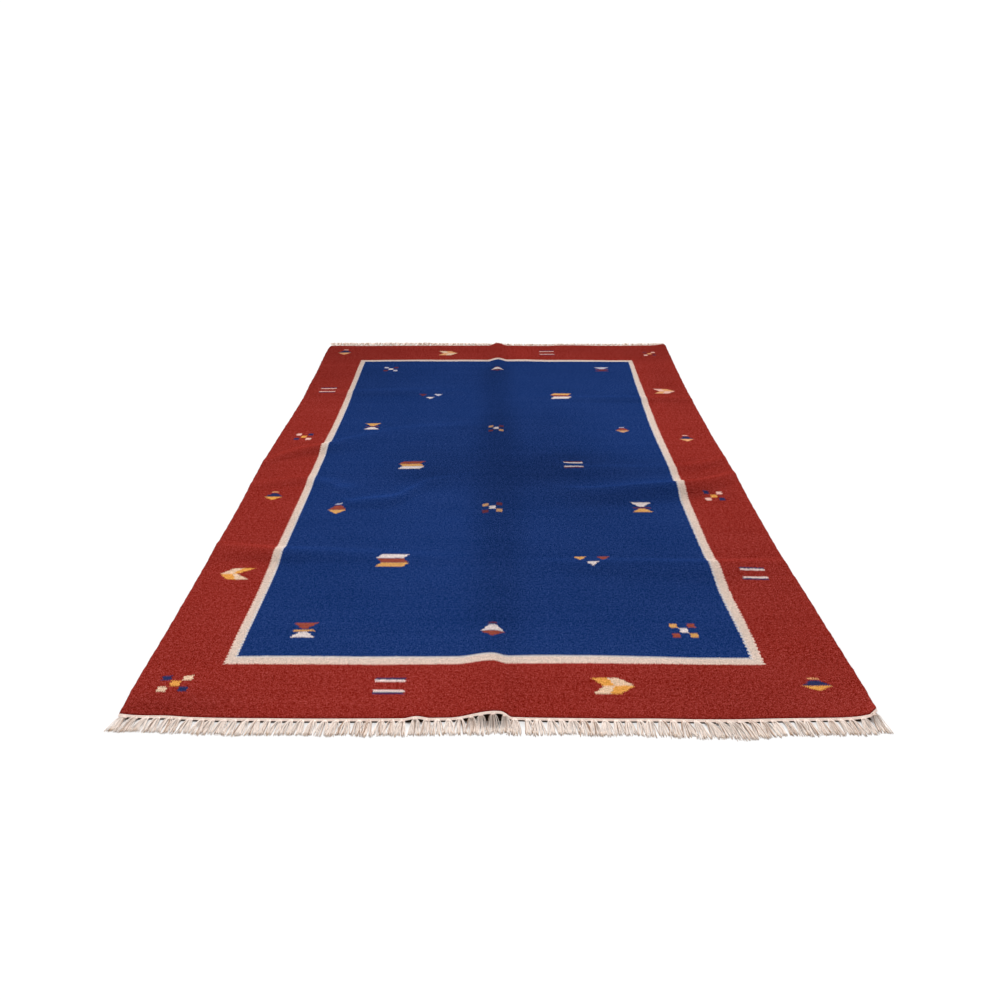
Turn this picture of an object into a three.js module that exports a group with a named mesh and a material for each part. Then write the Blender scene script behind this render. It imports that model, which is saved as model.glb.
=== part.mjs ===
// A flat-woven kilim rug, laid out on a floor, with the folds it keeps from having been folded up.
// Millimetres, +Z up. X runs across the rug and Y along it, from the near end (-Y) to the far end.
// The cloth is one solid; each end has a fringe, whose tassels are fused to a narrow end band.

import * as THREE from "three";

// Driving dimensions
const CLOTH_THICKNESS = 4;
const BAND_WIDTH = 8.5;
const BAND_GAP = 0.3;
const BAND_INSET = 1;
const TASSEL_COUNT = 68;
const TASSEL_MARGINS = { left: 5, right: -6 };
const TASSEL_ROOT_WIDTH = 11;
const TASSEL_TIP_WIDTH = 21;
const TASSEL_GAP = 1.5;
const TASSEL_SPLIT = 3;
const LOCK_STAGGER = 2;
const LOCK_TIP_THICKNESS = 3;

// A tassel whose root stands higher than this falls to the floor, and lies level from part way down
const RAISED_ROOT = 1;
const LEVEL_FROM = 0.6;

// How far each tassel strays from the even one
const PLACE_SPREAD = 2;
const LENGTH_SPREAD = 3;
const WIDTH_SPREAD = 5;
const LEAN_SPREAD = 5;

// The repeatable scramble that the uneven numbers come from
const SCRAMBLE = { square: 37, step: 911, kind: 577, span: 1009 };

// The outline, as uneven as the rug is: where each long side runs at a given distance along it
const SIDES = [
  { y: -1512, left: -992, right: 985 },
  { y: -1490, left: -994, right: 995 },
  { y: -1400, left: -998, right: 998 },
  { y: -1200, left: -995, right: 993 },
  { y: -1000, left: -993, right: 991 },
  { y: -780, left: -993, right: 983 },
  { y: -375, left: -993, right: 982 },
  { y: -270, left: -996, right: 984 },
  { y: -100, left: -999, right: 985 },
  { y: 60, left: -997, right: 982 },
  { y: 250, left: -992, right: 980 },
  { y: 660, left: -982, right: 983 },
  { y: 870, left: -987, right: 987 },
  { y: 1075, left: -989, right: 993 },
  { y: 1280, left: -996, right: 1001 },
  { y: 1400, left: -999, right: 1003 },
  { y: 1490, left: -996, right: 1004 },
  { y: 1508, left: -989, right: 998 },
];

// Where each end of the cloth runs at a given distance across it
const ENDS = [
  { x: -1000, near: -1500, far: 1499 },
  { x: -950, near: -1504, far: 1506 },
  { x: -870, near: -1505, far: 1506 },
  { x: -800, near: -1511, far: 1506 },
  { x: -640, near: -1516, far: 1508 },
  { x: -300, near: -1518, far: 1509 },
  { x: -130, near: -1516, far: 1509 },
  { x: 0, near: -1513, far: 1508 },
  { x: 130, near: -1518, far: 1505 },
  { x: 300, near: -1521, far: 1503 },
  { x: 400, near: -1521, far: 1509 },
  { x: 600, near: -1526, far: 1504 },
  { x: 740, near: -1522, far: 1503 },
  { x: 900, near: -1520, far: 1505 },
  { x: 960, near: -1517, far: 1505 },
  { x: 1000, near: -1508, far: 1499 },
];

// The fold along the middle of the rug: where its crest runs, how high, how wide each flank is, and
// how square the shoulder of the right one is
const CENTRE_FOLD = [
  { y: -1530, x: -6, rise: 22, left: 130, right: 44, shoulder: 1.7 },
  { y: -1420, x: -9, rise: 17, left: 115, right: 46, shoulder: 1.5 },
  { y: -1300, x: -20, rise: 13, left: 100, right: 48, shoulder: 1.2 },
  { y: -1000, x: -8, rise: 10, left: 80, right: 62, shoulder: 1 },
  { y: -200, x: 0, rise: 8, left: 75, right: 75, shoulder: 1 },
  { y: 700, x: 2, rise: 9, left: 70, right: 70, shoulder: 1 },
  { y: 1260, x: 5, rise: 13, left: 60, right: 60, shoulder: 1 },
  { y: 1530, x: 6, rise: 16, left: 56, right: 56, shoulder: 1 },
];

// The folds that cross the rug: crest, height, and the width of the near and the far flank
const CROSS_FOLDS = [
  [
    { x: -990, y: -690, rise: 3, near: 75, far: 40 },
    { x: -775, y: -725, rise: 11, near: 95, far: 40 },
    { x: -600, y: -735, rise: 7, near: 75, far: 40 },
    { x: -300, y: -755, rise: 4, near: 70, far: 40 },
    { x: 0, y: -785, rise: 0, near: 60, far: 40 },
    { x: 200, y: -800, rise: 3, near: 65, far: 35 },
    { x: 500, y: -806, rise: 8, near: 120, far: 35 },
    { x: 755, y: -815, rise: 13, near: 130, far: 35 },
    { x: 990, y: -800, rise: 3, near: 75, far: 35 },
  ],
  [
    { x: -990, y: -240, rise: 2, near: 60, far: 50 },
    { x: -775, y: -190, rise: 6, near: 70, far: 55 },
    { x: -700, y: -220, rise: 4, near: 70, far: 55 },
    { x: -640, y: -245, rise: 3, near: 60, far: 55 },
    { x: -615, y: -310, rise: 0, near: 60, far: 45 },
    { x: -590, y: -387, rise: 7, near: 60, far: 45 },
    { x: -503, y: -375, rise: 9, near: 75, far: 45 },
    { x: -420, y: -359, rise: 10, near: 85, far: 45 },
    { x: -368, y: -323, rise: 10, near: 85, far: 45 },
    { x: -318, y: -257, rise: 8, near: 90, far: 45 },
    { x: -250, y: -205, rise: 6, near: 90, far: 45 },
    { x: 0, y: -165, rise: 1, near: 110, far: 45 },
    { x: 260, y: -270, rise: 3, near: 110, far: 40 },
    { x: 372, y: -291, rise: 12, near: 130, far: 33 },
    { x: 545, y: -277, rise: 20, near: 140, far: 33 },
    { x: 755, y: -253, rise: 24, near: 130, far: 36 },
    { x: 890, y: -203, rise: 14, near: 100, far: 38 },
    { x: 990, y: -145, rise: 5, near: 80, far: 40 },
  ],
  [
    { x: -990, y: -40, rise: 3, near: 60, far: 60 },
    { x: -900, y: 50, rise: 9, near: 75, far: 60 },
    { x: -775, y: 102, rise: 17, near: 85, far: 60 },
    { x: -620, y: 192, rise: 11, near: 160, far: 70 },
    { x: -480, y: 268, rise: 7, near: 200, far: 70 },
    { x: -250, y: 315, rise: 7, near: 200, far: 70 },
    { x: 0, y: 280, rise: 3, near: 230, far: 120 },
    { x: 110, y: 195, rise: 2, near: 160, far: 130 },
    { x: 210, y: 10, rise: 3, near: 110, far: 120 },
    { x: 290, y: -90, rise: 8, near: 115, far: 60 },
    { x: 500, y: -106, rise: 8, near: 110, far: 45 },
    { x: 700, y: -95, rise: 3, near: 70, far: 45 },
    { x: 880, y: -60, rise: 5, near: 55, far: 45 },
    { x: 990, y: 0, rise: 2, near: 50, far: 45 },
  ],
  [
    { x: -990, y: 755, rise: 1, near: 60, far: 50 },
    { x: -775, y: 758, rise: 4, near: 65, far: 50 },
    { x: -500, y: 775, rise: 7, near: 80, far: 50 },
    { x: -250, y: 775, rise: 3, near: 70, far: 50 },
    { x: 0, y: 725, rise: 0, near: 60, far: 45 },
    { x: 400, y: 680, rise: 4, near: 70, far: 35 },
    { x: 700, y: 672, rise: 9, near: 80, far: 35 },
    { x: 990, y: 665, rise: 2, near: 60, far: 35 },
  ],
];

// How the long edges lift off the floor: highest at the edge, nothing a stated width inside it
const RIGHT_LIFT = [
  { y: -1530, rise: 9, width: 110 },
  { y: -1400, rise: 7, width: 100 },
  { y: -1200, rise: 4, width: 70 },
  { y: -900, rise: 0, width: 60 },
  { y: 1250, rise: 0, width: 60 },
  { y: 1430, rise: 6, width: 70 },
  { y: 1530, rise: 18, width: 110 },
];
const LEFT_LIFT = [
  { y: -1530, rise: 5, width: 130 },
  { y: -1350, rise: 0, width: 80 },
  { y: 1400, rise: 0, width: 60 },
  { y: 1530, rise: 3, width: 80 },
];
const LIFT_SHARPNESS = 2.2;

// The near right corner curls up: how far, and over how much of the cloth's width and length
const CURL = { rise: 16, width: 14, length: 34 };

// The distance over which the slope of the cloth is taken
const SLOPE_STEP = 1;

// A short ripple that runs in from the near end, left of the middle fold
const RIPPLE = { x: -212, rise: 7.5, halfWidth: 38, y: -1530, length: 170 };

// Grid of the cloth: the columns across it, and the rows between and beside the crossing folds
const COLUMNS = [
  -990, -960, -900, -840, -775, -700, -620, -540, -460, -380, -310, -250, -212, -175, -140, -105, -72,
  -40, -20, -6, 8, 18, 28, 38, 56, 80, 115, 165, 220, 300, 400, 500, 600, 690, 755, 820, 880, 930, 960,
  977, 990,
];
const FLANK_STEPS = [1 / 3, 2 / 3, 1];
const OPEN_ROWS = [
  [-1512, -1480, -1450, -1400, -1300, -1180, -1040],
  [-640, -520],
  [],
  [430, 560],
  [860, 990, 1130, 1270, 1380, 1450, 1509],
];
const LEAST_ROW_STEP = 9;

// How far the tassels' tips lean across the rug, and how long they are, from place to place
const NEAR_TASSELS = [
  { x: -990, lean: -17, length: 48 },
  { x: -950, lean: -19, length: 48 },
  { x: -915, lean: -15, length: 48 },
  { x: -850, lean: -9, length: 47 },
  { x: -700, lean: -8, length: 47 },
  { x: -600, lean: -8, length: 48 },
  { x: -300, lean: -4, length: 49 },
  { x: -100, lean: 0, length: 50 },
  { x: 100, lean: 4, length: 49 },
  { x: 200, lean: 8, length: 47 },
  { x: 330, lean: 3, length: 49 },
  { x: 450, lean: 6, length: 54 },
  { x: 540, lean: 18, length: 56 },
  { x: 600, lean: 24, length: 57 },
  { x: 660, lean: 20, length: 52 },
  { x: 740, lean: 10, length: 51 },
  { x: 850, lean: 8, length: 50 },
  { x: 930, lean: 12, length: 49 },
  { x: 990, lean: 8, length: 52 },
];
const FAR_TASSELS = [
  { x: -990, lean: -22, length: 60 },
  { x: -900, lean: -12, length: 58 },
  { x: -500, lean: -4, length: 56 },
  { x: -100, lean: 0, length: 42 },
  { x: 200, lean: 2, length: 34 },
  { x: 600, lean: 4, length: 36 },
  { x: 990, lean: 6, length: 40 },
];

const WOOL = { color: 0x243f7d, roughness: 0.95, metalness: 0 };
const COTTON = { color: 0xded2bf, roughness: 0.95, metalness: 0 };

// Reads one column of a table at any place between its rows, with a smooth curve through them
function readTable(rows, place, column, at) {
  const last = rows.length - 1;
  if (at <= rows[0][place]) {
    return rows[0][column];
  }
  if (at >= rows[last][place]) {
    return rows[last][column];
  }
  let k = 0;
  while (rows[k + 1][place] < at) {
    k += 1;
  }
  const slopeAt = (i) => {
    const before = rows[Math.max(i - 1, 0)];
    const after = rows[Math.min(i + 1, last)];
    return (after[column] - before[column]) / (after[place] - before[place]);
  };
  const span = rows[k + 1][place] - rows[k][place];
  const t = (at - rows[k][place]) / span;
  const rest = 1 - t;
  return (
    rows[k][column] * (1 + 2 * t) * rest * rest +
    rows[k + 1][column] * (3 - 2 * t) * t * t +
    span * t * rest * (slopeAt(k) * rest - slopeAt(k + 1) * t)
  );
}

// A rounded crest that is 1 at its line and 0 one flank away
function crest(offset, flankBelow, flankAbove, shoulder = 1) {
  const t = Math.min(Math.abs(offset) / (offset < 0 ? flankBelow : flankAbove), 1);
  return Math.cos((t ** (offset < 0 ? 1 : shoulder) * Math.PI) / 2) ** 2;
}

function centreFold(x, y) {
  const read = (column) => readTable(CENTRE_FOLD, "y", column, y);
  return read("rise") * crest(x - read("x"), read("left"), read("right"), read("shoulder"));
}

function crossFold(fold, x, y) {
  const read = (column) => readTable(fold, "x", column, x);
  return Math.max(read("rise"), 0) * crest(y - read("y"), read("near"), read("far"));
}

// The lift of one long edge, for a point a given distance inside it
function edgeLift(lift, inside, y) {
  const rise = Math.max(readTable(lift, "y", "rise", y), 0);
  const width = readTable(lift, "y", "width", y);
  return inside >= width ? 0 : rise * (1 - Math.max(inside, 0) / width) ** LIFT_SHARPNESS;
}

// The curl of the near right corner, for a point a given distance inside the right edge
function cornerCurl(inside, y) {
  const across = Math.max(1 - Math.max(inside, 0) / CURL.width, 0);
  const along = Math.max(1 - (y - OPEN_ROWS[0][0]) / CURL.length, 0);
  return CURL.rise * across * Math.min(along, 1);
}

function ripple(x, y) {
  const away = Math.min((y - RIPPLE.y) / RIPPLE.length, 1);
  return RIPPLE.rise * (1 - away) * crest(x - RIPPLE.x, RIPPLE.halfWidth, RIPPLE.halfWidth);
}

// How far the underside of the cloth stands off the floor
function standOff(x, y) {
  const crossing = CROSS_FOLDS.map((fold) => crossFold(fold, x, y));
  const insideRight = readTable(SIDES, "y", "right", y) - x;
  const right = edgeLift(RIGHT_LIFT, insideRight, y) + cornerCurl(insideRight, y);
  const left = edgeLift(LEFT_LIFT, x - readTable(SIDES, "y", "left", y), y);
  return Math.max(centreFold(x, y), ...crossing) + right + left + ripple(x, y);
}

// The two skins of the cloth at one point, half a thickness each side of its middle surface.
// At the ends of the rug the cut edge stands upright, so the skins part across the rug alone.
function clothPoint(x, y, atEnd) {
  const half = CLOTH_THICKNESS / 2;
  const riseX = standOff(x + SLOPE_STEP, y) - standOff(x - SLOPE_STEP, y);
  const riseY = atEnd ? 0 : standOff(x, y + SLOPE_STEP) - standOff(x, y - SLOPE_STEP);
  const normal = new THREE.Vector3(-riseX, -riseY, 2 * SLOPE_STEP).setLength(half);
  const middle = new THREE.Vector3(x, y, standOff(x, y) + half);
  return { low: middle.clone().sub(normal), high: middle.clone().add(normal) };
}

// A closed solid between the low and the high skin of a field of cells, walled in at its rim.
// A cell lists its corners anticlockwise, as seen from above.
function slab(points, cells) {
  const high = points.length;
  const faces = [];
  const directed = new Set();
  for (const cell of cells) {
    for (let i = 1; i + 1 < cell.length; i += 1) {
      faces.push(high + cell[0], high + cell[i], high + cell[i + 1]);
      faces.push(cell[0], cell[i + 1], cell[i]);
    }
    cell.forEach((a, i) => directed.add(`${a} ${cell[(i + 1) % cell.length]}`));
  }
  for (const edge of directed) {
    const [a, b] = edge.split(" ").map(Number);
    if (!directed.has(`${b} ${a}`)) {
      faces.push(a, b, high + b);
      faces.push(a, high + b, high + a);
    }
  }
  const corners = [...points.map((point) => point.low), ...points.map((point) => point.high)];
  const geometry = new THREE.BufferGeometry().setFromPoints(corners);
  geometry.setIndex(faces);
  geometry.computeVertexNormals();
  return geometry;
}

// The rows of the grid at one place across the rug, from the near end to the far end
function rowsAt(x) {
  const rows = [];
  OPEN_ROWS.forEach((open, i) => {
    rows.push(...open);
    const fold = CROSS_FOLDS[i];
    if (fold) {
      const line = readTable(fold, "x", "y", x);
      const near = readTable(fold, "x", "near", x);
      const far = readTable(fold, "x", "far", x);
      rows.push(...FLANK_STEPS.map((part) => line - part * near).reverse());
      rows.push(line);
      rows.push(...FLANK_STEPS.map((part) => line + part * far));
    }
  });
  for (let i = 1; i < rows.length; i += 1) {
    rows[i] = Math.max(rows[i], rows[i - 1] + LEAST_ROW_STEP);
  }
  return rows;
}

// Moves a point of the even grid to its place inside the uneven outline
function placeInOutline(column, row) {
  const first = COLUMNS[0];
  const last = COLUMNS.at(-1);
  const across = (column - first) / (last - first);
  const left = readTable(SIDES, "y", "left", row);
  const right = readTable(SIDES, "y", "right", row);
  const x = left + across * (right - left);
  const start = OPEN_ROWS[0][0];
  const end = OPEN_ROWS.at(-1).at(-1);
  const along = (row - start) / (end - start);
  const near = readTable(ENDS, "x", "near", x);
  const far = readTable(ENDS, "x", "far", x);
  return { x, y: near + along * (far - near) };
}

function cloth() {
  const points = [];
  const rowCount = rowsAt(0).length;
  for (const column of COLUMNS) {
    rowsAt(column).forEach((row, j) => {
      const { x, y } = placeInOutline(column, row);
      points.push(clothPoint(x, y, j === 0 || j === rowCount - 1));
    });
  }
  const cells = [];
  for (let i = 0; i + 1 < COLUMNS.length; i += 1) {
    for (let j = 0; j + 1 < rowCount; j += 1) {
      const corner = i * rowCount + j;
      cells.push([corner, corner + rowCount, corner + rowCount + 1, corner + 1]);
    }
  }
  return slab(points, cells);
}

// The end edge of the cloth as it is built: straight from each column of the grid to the next
function endEdge(end) {
  const row = end.outward < 0 ? rowsAt(0)[0] : rowsAt(0).at(-1);
  return COLUMNS.map((column) => placeInOutline(column, row));
}

function readEdge(edge, x) {
  const next = Math.max(edge.findIndex((point) => point.x >= x), 1);
  const a = edge[next - 1];
  const b = edge[next];
  return a.y + ((x - a.x) / (b.x - a.x)) * (b.y - a.y);
}

// A repeatable uneven number from -1 to 1 for one tassel
function uneven(index, kind) {
  const mixed = index * index * SCRAMBLE.square + index * SCRAMBLE.step + kind * SCRAMBLE.kind;
  return (2 * (mixed % SCRAMBLE.span)) / SCRAMBLE.span - 1;
}

// The plan of one fringe's tassels: where each root lies, and where its tip lies and how far out
function tasselPlan(end) {
  const edge = endEdge(end);
  const left = edge[0].x + TASSEL_MARGINS.left;
  const right = edge.at(-1).x - TASSEL_MARGINS.right;
  const pitch = (right - left) / TASSEL_COUNT;
  const tassels = [];
  let tipLimit = -Infinity;
  for (let i = 0; i < TASSEL_COUNT; i += 1) {
    const [place, width, stray, reach] = [0, 1, 2, 3].map((k) => uneven(i, end.kind + k));
    const root = left + (i + 0.5) * pitch + place * PLACE_SPREAD;
    const half = (TASSEL_TIP_WIDTH + width * WIDTH_SPREAD) / 2;
    const lean = readTable(end.tassels, "x", "lean", root) + stray * LEAN_SPREAD;
    const tip = Math.max(root + lean, tipLimit + half + TASSEL_GAP);
    const length = readTable(end.tassels, "x", "length", root) + reach * LENGTH_SPREAD;
    tipLimit = tip + half;
    tassels.push({ root, tip, half, length });
  }
  return tassels;
}

// A point of a tassel or band: its underside, and its thickness above that
function fringePoint(x, y, underside, thickness) {
  return { low: new THREE.Vector3(x, y, underside), high: new THREE.Vector3(x, y, underside + thickness) };
}

// One end's fringe: a band along the edge of the cloth, and two flat locks for each tassel
function fringe(end) {
  const points = [];
  const cells = [];
  const outward = end.outward;
  const add = (x, y, underside, thickness) => points.push(fringePoint(x, y, underside, thickness)) - 1;
  const addCell = (corners) => cells.push(outward < 0 ? corners : [...corners].reverse());
  const edge = endEdge(end);

  // The band reaches from the cloth's edge to the roots, and rises with the folds
  const station = (x) => {
    const clothEnd = readEdge(edge, x);
    const inner = clothEnd + outward * BAND_GAP;
    const outer = inner + outward * BAND_WIDTH;
    const underside = standOff(x, clothEnd);
    return {
      x,
      outer,
      underside,
      inside: add(x, inner, underside, CLOTH_THICKNESS),
      outside: add(x, outer, underside, CLOTH_THICKNESS),
    };
  };
  const joinStations = (a, b) => {
    const between = edge.filter((point) => point.x > a.x && point.x < b.x);
    const turns = between.map((point) =>
      add(point.x, point.y + outward * BAND_GAP, standOff(point.x, point.y), CLOTH_THICKNESS),
    );
    addCell([a.outside, b.outside, b.inside, ...turns.reverse(), a.inside]);
  };

  // A lock widens from its root to its tip, and lies level on the floor from part way down
  const addLock = (a, b, tipFrom, tipTo, length) => {
    const raised = Math.max(a.underside, b.underside) > RAISED_ROOT;
    const tipY = a.outer + outward * length;
    let rootFrom = a.outside;
    let rootTo = b.outside;
    if (raised) {
      const bend = (root, tip) => {
        const x = root.x + (tip - root.x) * LEVEL_FROM;
        const y = root.outer + (tipY - root.outer) * LEVEL_FROM;
        return add(x, y, 0, CLOTH_THICKNESS);
      };
      const bendFrom = bend(a, tipFrom);
      const bendTo = bend(b, tipTo);
      addCell([bendFrom, bendTo, rootTo, rootFrom]);
      rootFrom = bendFrom;
      rootTo = bendTo;
    }
    const tipA = add(tipFrom, tipY, 0, LOCK_TIP_THICKNESS);
    const tipB = add(tipTo, tipY, 0, LOCK_TIP_THICKNESS);
    addCell([tipA, tipB, rootTo, rootFrom]);
  };

  let previous = station(edge[0].x + BAND_INSET);
  for (const tassel of tasselPlan(end)) {
    const half = TASSEL_ROOT_WIDTH / 2;
    const left = station(tassel.root - half);
    const middle = station(tassel.root);
    const right = station(tassel.root + half);
    joinStations(previous, left);
    joinStations(left, middle);
    joinStations(middle, right);
    const split = TASSEL_SPLIT / 2;
    addLock(left, middle, tassel.tip - tassel.half, tassel.tip - split, tassel.length);
    addLock(middle, right, tassel.tip + split, tassel.tip + tassel.half, tassel.length - LOCK_STAGGER);
    previous = right;
  }
  joinStations(previous, station(edge.at(-1).x - BAND_INSET));
  return slab(points, cells);
}

function piece(name, geometry, finish) {
  const mesh = new THREE.Mesh(geometry, new THREE.MeshStandardMaterial(finish));
  mesh.name = name;
  return mesh;
}

const NEAR_END = { outward: -1, kind: 1, tassels: NEAR_TASSELS };
const FAR_END = { outward: 1, kind: 5, tassels: FAR_TASSELS };

const rug = new THREE.Group();
rug.add(piece("rug_cloth", cloth(), WOOL));
rug.add(piece("fringe_near", fringe(NEAR_END), COTTON));
rug.add(piece("fringe_far", fringe(FAR_END), COTTON));

// The origin is under the middle of the rug, fringes and all
const middle = new THREE.Box3().setFromObject(rug).getCenter(new THREE.Vector3());
rug.position.set(-middle.x, -middle.y, 0);
rug.updateMatrixWorld(true);

export default rug;
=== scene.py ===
# A flat-woven kilim rug laid out on a plain floor, with the folds it keeps from having been folded up.
# The tables are in millimetres, in the frame in which the rug's outline was laid out: X across the rug,
# Y along it towards the far end. Meshes are in metres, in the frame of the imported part.

import math

import bpy
import numpy as np
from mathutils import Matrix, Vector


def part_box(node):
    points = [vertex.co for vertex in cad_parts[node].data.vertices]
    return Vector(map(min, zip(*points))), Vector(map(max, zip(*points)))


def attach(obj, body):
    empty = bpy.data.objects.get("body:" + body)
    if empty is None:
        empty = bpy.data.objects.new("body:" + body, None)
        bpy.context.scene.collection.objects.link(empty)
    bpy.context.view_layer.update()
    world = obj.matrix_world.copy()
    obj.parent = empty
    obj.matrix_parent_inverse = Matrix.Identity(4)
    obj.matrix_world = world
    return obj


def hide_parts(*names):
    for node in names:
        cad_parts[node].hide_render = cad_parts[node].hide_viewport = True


MM = 0.001


def table(columns, rows):
    """A table with named columns: the numbers of each, from the first row to the last."""
    return dict(zip(columns.split(), np.array(rows, float).T))


# The cloth and its outline: where each long side runs, and where each end runs
CLOTH_THICKNESS = 4
CLOTH_NEAR = -1512
CLOTH_FAR = 1509
CLOTH_HALF_WIDTH = 990
SIDES = table("y left right", [
    (-1512, -992, 985),
    (-1490, -994, 995),
    (-1400, -998, 998),
    (-1200, -995, 993),
    (-1000, -993, 991),
    (-780, -993, 983),
    (-375, -993, 982),
    (-270, -996, 984),
    (-100, -999, 985),
    (60, -997, 982),
    (250, -992, 980),
    (660, -982, 983),
    (870, -987, 987),
    (1075, -989, 993),
    (1280, -996, 1001),
    (1400, -999, 1003),
    (1490, -996, 1004),
    (1508, -989, 998),
])
ENDS = table("x near far", [
    (-1000, -1500, 1499),
    (-950, -1504, 1506),
    (-870, -1505, 1506),
    (-800, -1511, 1506),
    (-640, -1516, 1508),
    (-300, -1518, 1509),
    (-130, -1516, 1509),
    (0, -1513, 1508),
    (130, -1518, 1505),
    (300, -1521, 1503),
    (400, -1521, 1509),
    (600, -1526, 1504),
    (740, -1522, 1503),
    (900, -1520, 1505),
    (960, -1517, 1505),
    (1000, -1508, 1499),
])

# The fold along the middle of the rug: its crest line, its height, the width of each flank, and how
# square the shoulder of the right one is
CENTRE_FOLD = table("y x rise left right shoulder", [
    (-1530, -6, 22, 130, 44, 1.7),
    (-1420, -9, 17, 115, 46, 1.5),
    (-1300, -20, 13, 100, 48, 1.2),
    (-1000, -8, 10, 80, 62, 1),
    (-200, 0, 8, 75, 75, 1),
    (700, 2, 9, 70, 70, 1),
    (1260, 5, 13, 60, 60, 1),
    (1530, 6, 16, 56, 56, 1),
])

# The folds that cross the rug: crest line, height, and the width of the near and the far flank
CROSS_FOLDS = [
    table("x y rise near far", [
        (-990, -690, 3, 75, 40),
        (-775, -725, 11, 95, 40),
        (-600, -735, 7, 75, 40),
        (-300, -755, 4, 70, 40),
        (0, -785, 0, 60, 40),
        (200, -800, 3, 65, 35),
        (500, -806, 8, 120, 35),
        (755, -815, 13, 130, 35),
        (990, -800, 3, 75, 35),
    ]),
    table("x y rise near far", [
        (-990, -240, 2, 60, 50),
        (-775, -190, 6, 70, 55),
        (-700, -220, 4, 70, 55),
        (-640, -245, 3, 60, 55),
        (-615, -310, 0, 60, 45),
        (-590, -387, 7, 60, 45),
        (-503, -375, 9, 75, 45),
        (-420, -359, 10, 85, 45),
        (-368, -323, 10, 85, 45),
        (-318, -257, 8, 90, 45),
        (-250, -205, 6, 90, 45),
        (0, -165, 1, 110, 45),
        (260, -270, 3, 110, 40),
        (372, -291, 12, 130, 33),
        (545, -277, 20, 140, 33),
        (755, -253, 24, 130, 36),
        (890, -203, 14, 100, 38),
        (990, -145, 5, 80, 40),
    ]),
    table("x y rise near far", [
        (-990, -40, 3, 60, 60),
        (-900, 50, 9, 75, 60),
        (-775, 102, 17, 85, 60),
        (-620, 192, 11, 160, 70),
        (-480, 268, 7, 200, 70),
        (-250, 315, 7, 200, 70),
        (0, 280, 3, 230, 120),
        (110, 195, 2, 160, 130),
        (210, 10, 3, 110, 120),
        (290, -90, 8, 115, 60),
        (500, -106, 8, 110, 45),
        (700, -95, 3, 70, 45),
        (880, -60, 5, 55, 45),
        (990, 0, 2, 50, 45),
    ]),
    table("x y rise near far", [
        (-990, 755, 1, 60, 50),
        (-775, 758, 4, 65, 50),
        (-500, 775, 7, 80, 50),
        (-250, 775, 3, 70, 50),
        (0, 725, 0, 60, 45),
        (400, 680, 4, 70, 35),
        (700, 672, 9, 80, 35),
        (990, 665, 2, 60, 35),
    ]),
]

# How the long edges lift off the floor: highest at the edge, nothing a stated width inside it
RIGHT_LIFT = table("y rise width", [
    (-1530, 9, 110),
    (-1400, 7, 100),
    (-1200, 4, 70),
    (-900, 0, 60),
    (1250, 0, 60),
    (1430, 6, 70),
    (1530, 18, 110),
])
LEFT_LIFT = table("y rise width", [
    (-1530, 5, 130),
    (-1350, 0, 80),
    (1400, 0, 60),
    (1530, 3, 80),
])
LIFT_SHARPNESS = 2.2

# The near right corner curls up: how far, and over how much of the cloth's width and length
CURL = {"rise": 16, "width": 14, "length": 34}

# A short ripple that runs in from the near end, left of the middle fold
RIPPLE = {"x": -212, "rise": 7.5, "half_width": 38, "y": -1530, "length": 170}

# Gentle swells all over: wavelength, the heading of the waves in degrees, where they start, and height
SWELLS = table("length heading start rise", [
    (430, 20, 0.3, 0.5),
    (310, 75, 1.9, 0.45),
    (240, 130, 4.1, 0.4),
    (170, 100, 2.2, 0.3),
    (120, 60, 5.0, 0.2),
    (85, 95, 0.9, 0.12),
])
SWELL_FLOOR = 0.3

# The selvages wander in and out a little: wavelength, start and reach
SELVAGE_WOBBLE = table("length start reach", [
    (74, 0.4, 0.5),
    (41, 2.6, 0.4),
    (23, 4.4, 0.3),
])
EDGE_ROUND = 1.2

# The cloth's mesh: how many cells across and along, and how wide the cells are at each place across
CELLS_ACROSS = 216
CELLS_ALONG = 330
CELL_WIDTHS = table("x width", [
    (-990, 5),
    (-950, 10),
    (-130, 9),
    (-20, 6.5),
    (45, 6),
    (110, 10),
    (930, 10),
    (970, 4),
    (990, 3),
])
SLOPE_STEP = 1

# On the flat map, the width of the strip that shows the rim
RIM_MAP_WIDTH = 0.004

# The loom: one warp every so far across, and one pick of weft every so far along
WARP_PITCH = 2.3
PICK_PITCH = 1.6

# How far the colours' edges wander, and how far they are toothed: across the rug by sets of picks, and
# along it by single warps
EDGE_WANDER = 3
TOOTH_ACROSS = 3
TOOTH_ALONG = 4
PICKS_IN_TOOTH = 4

# The relief of the weave: the share of each form in it, and how deep it is in metres
RIB_RELIEF = 0.5
BEAD_RELIEF = 0.35
FLECK_RELIEF = 0.6
WEAVE_DEPTH = 0.0006
WOOL_ROUGHNESS = 0.95

# Where the cream band runs on the loom, where it is straight, and where its lines wander on the floor.
# Past the free lines and between the calm ones, nothing along the rug is moved.
BAND = {"outer_left": -773, "inner_left": -742, "inner_right": 720, "outer_right": 752}
BAND_LINES = table("y outer_left inner_left inner_right outer_right", [
    (-1500, -779, -752, 725, 758),
    (-1200, -777, -748, 724, 757),
    (-1000, -772, -744, 715, 750),
    (-850, -773, -742, 715, 748),
    (-680, -774, -745, 713, 745),
    (-380, -771, -743, 712, 745),
    (-60, -771, -744, 721, 750),
    (150, -772, -743, 717, 748),
    (350, -767, -740, 717, 748),
    (560, -765, -738, 722, 752),
    (870, -766, -743, 732, 759),
    (1180, -770, -746, 745, 767),
    (1500, -770, -746, 749, 771),
])
BAND_ENDS = {
    "free_near": -1370, "outer_near": -1307, "inner_near": -1274, "calm_near": -1215,
    "calm_far": 1180, "inner_far": 1226, "outer_far": 1254, "free_far": 1310,
}
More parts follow.
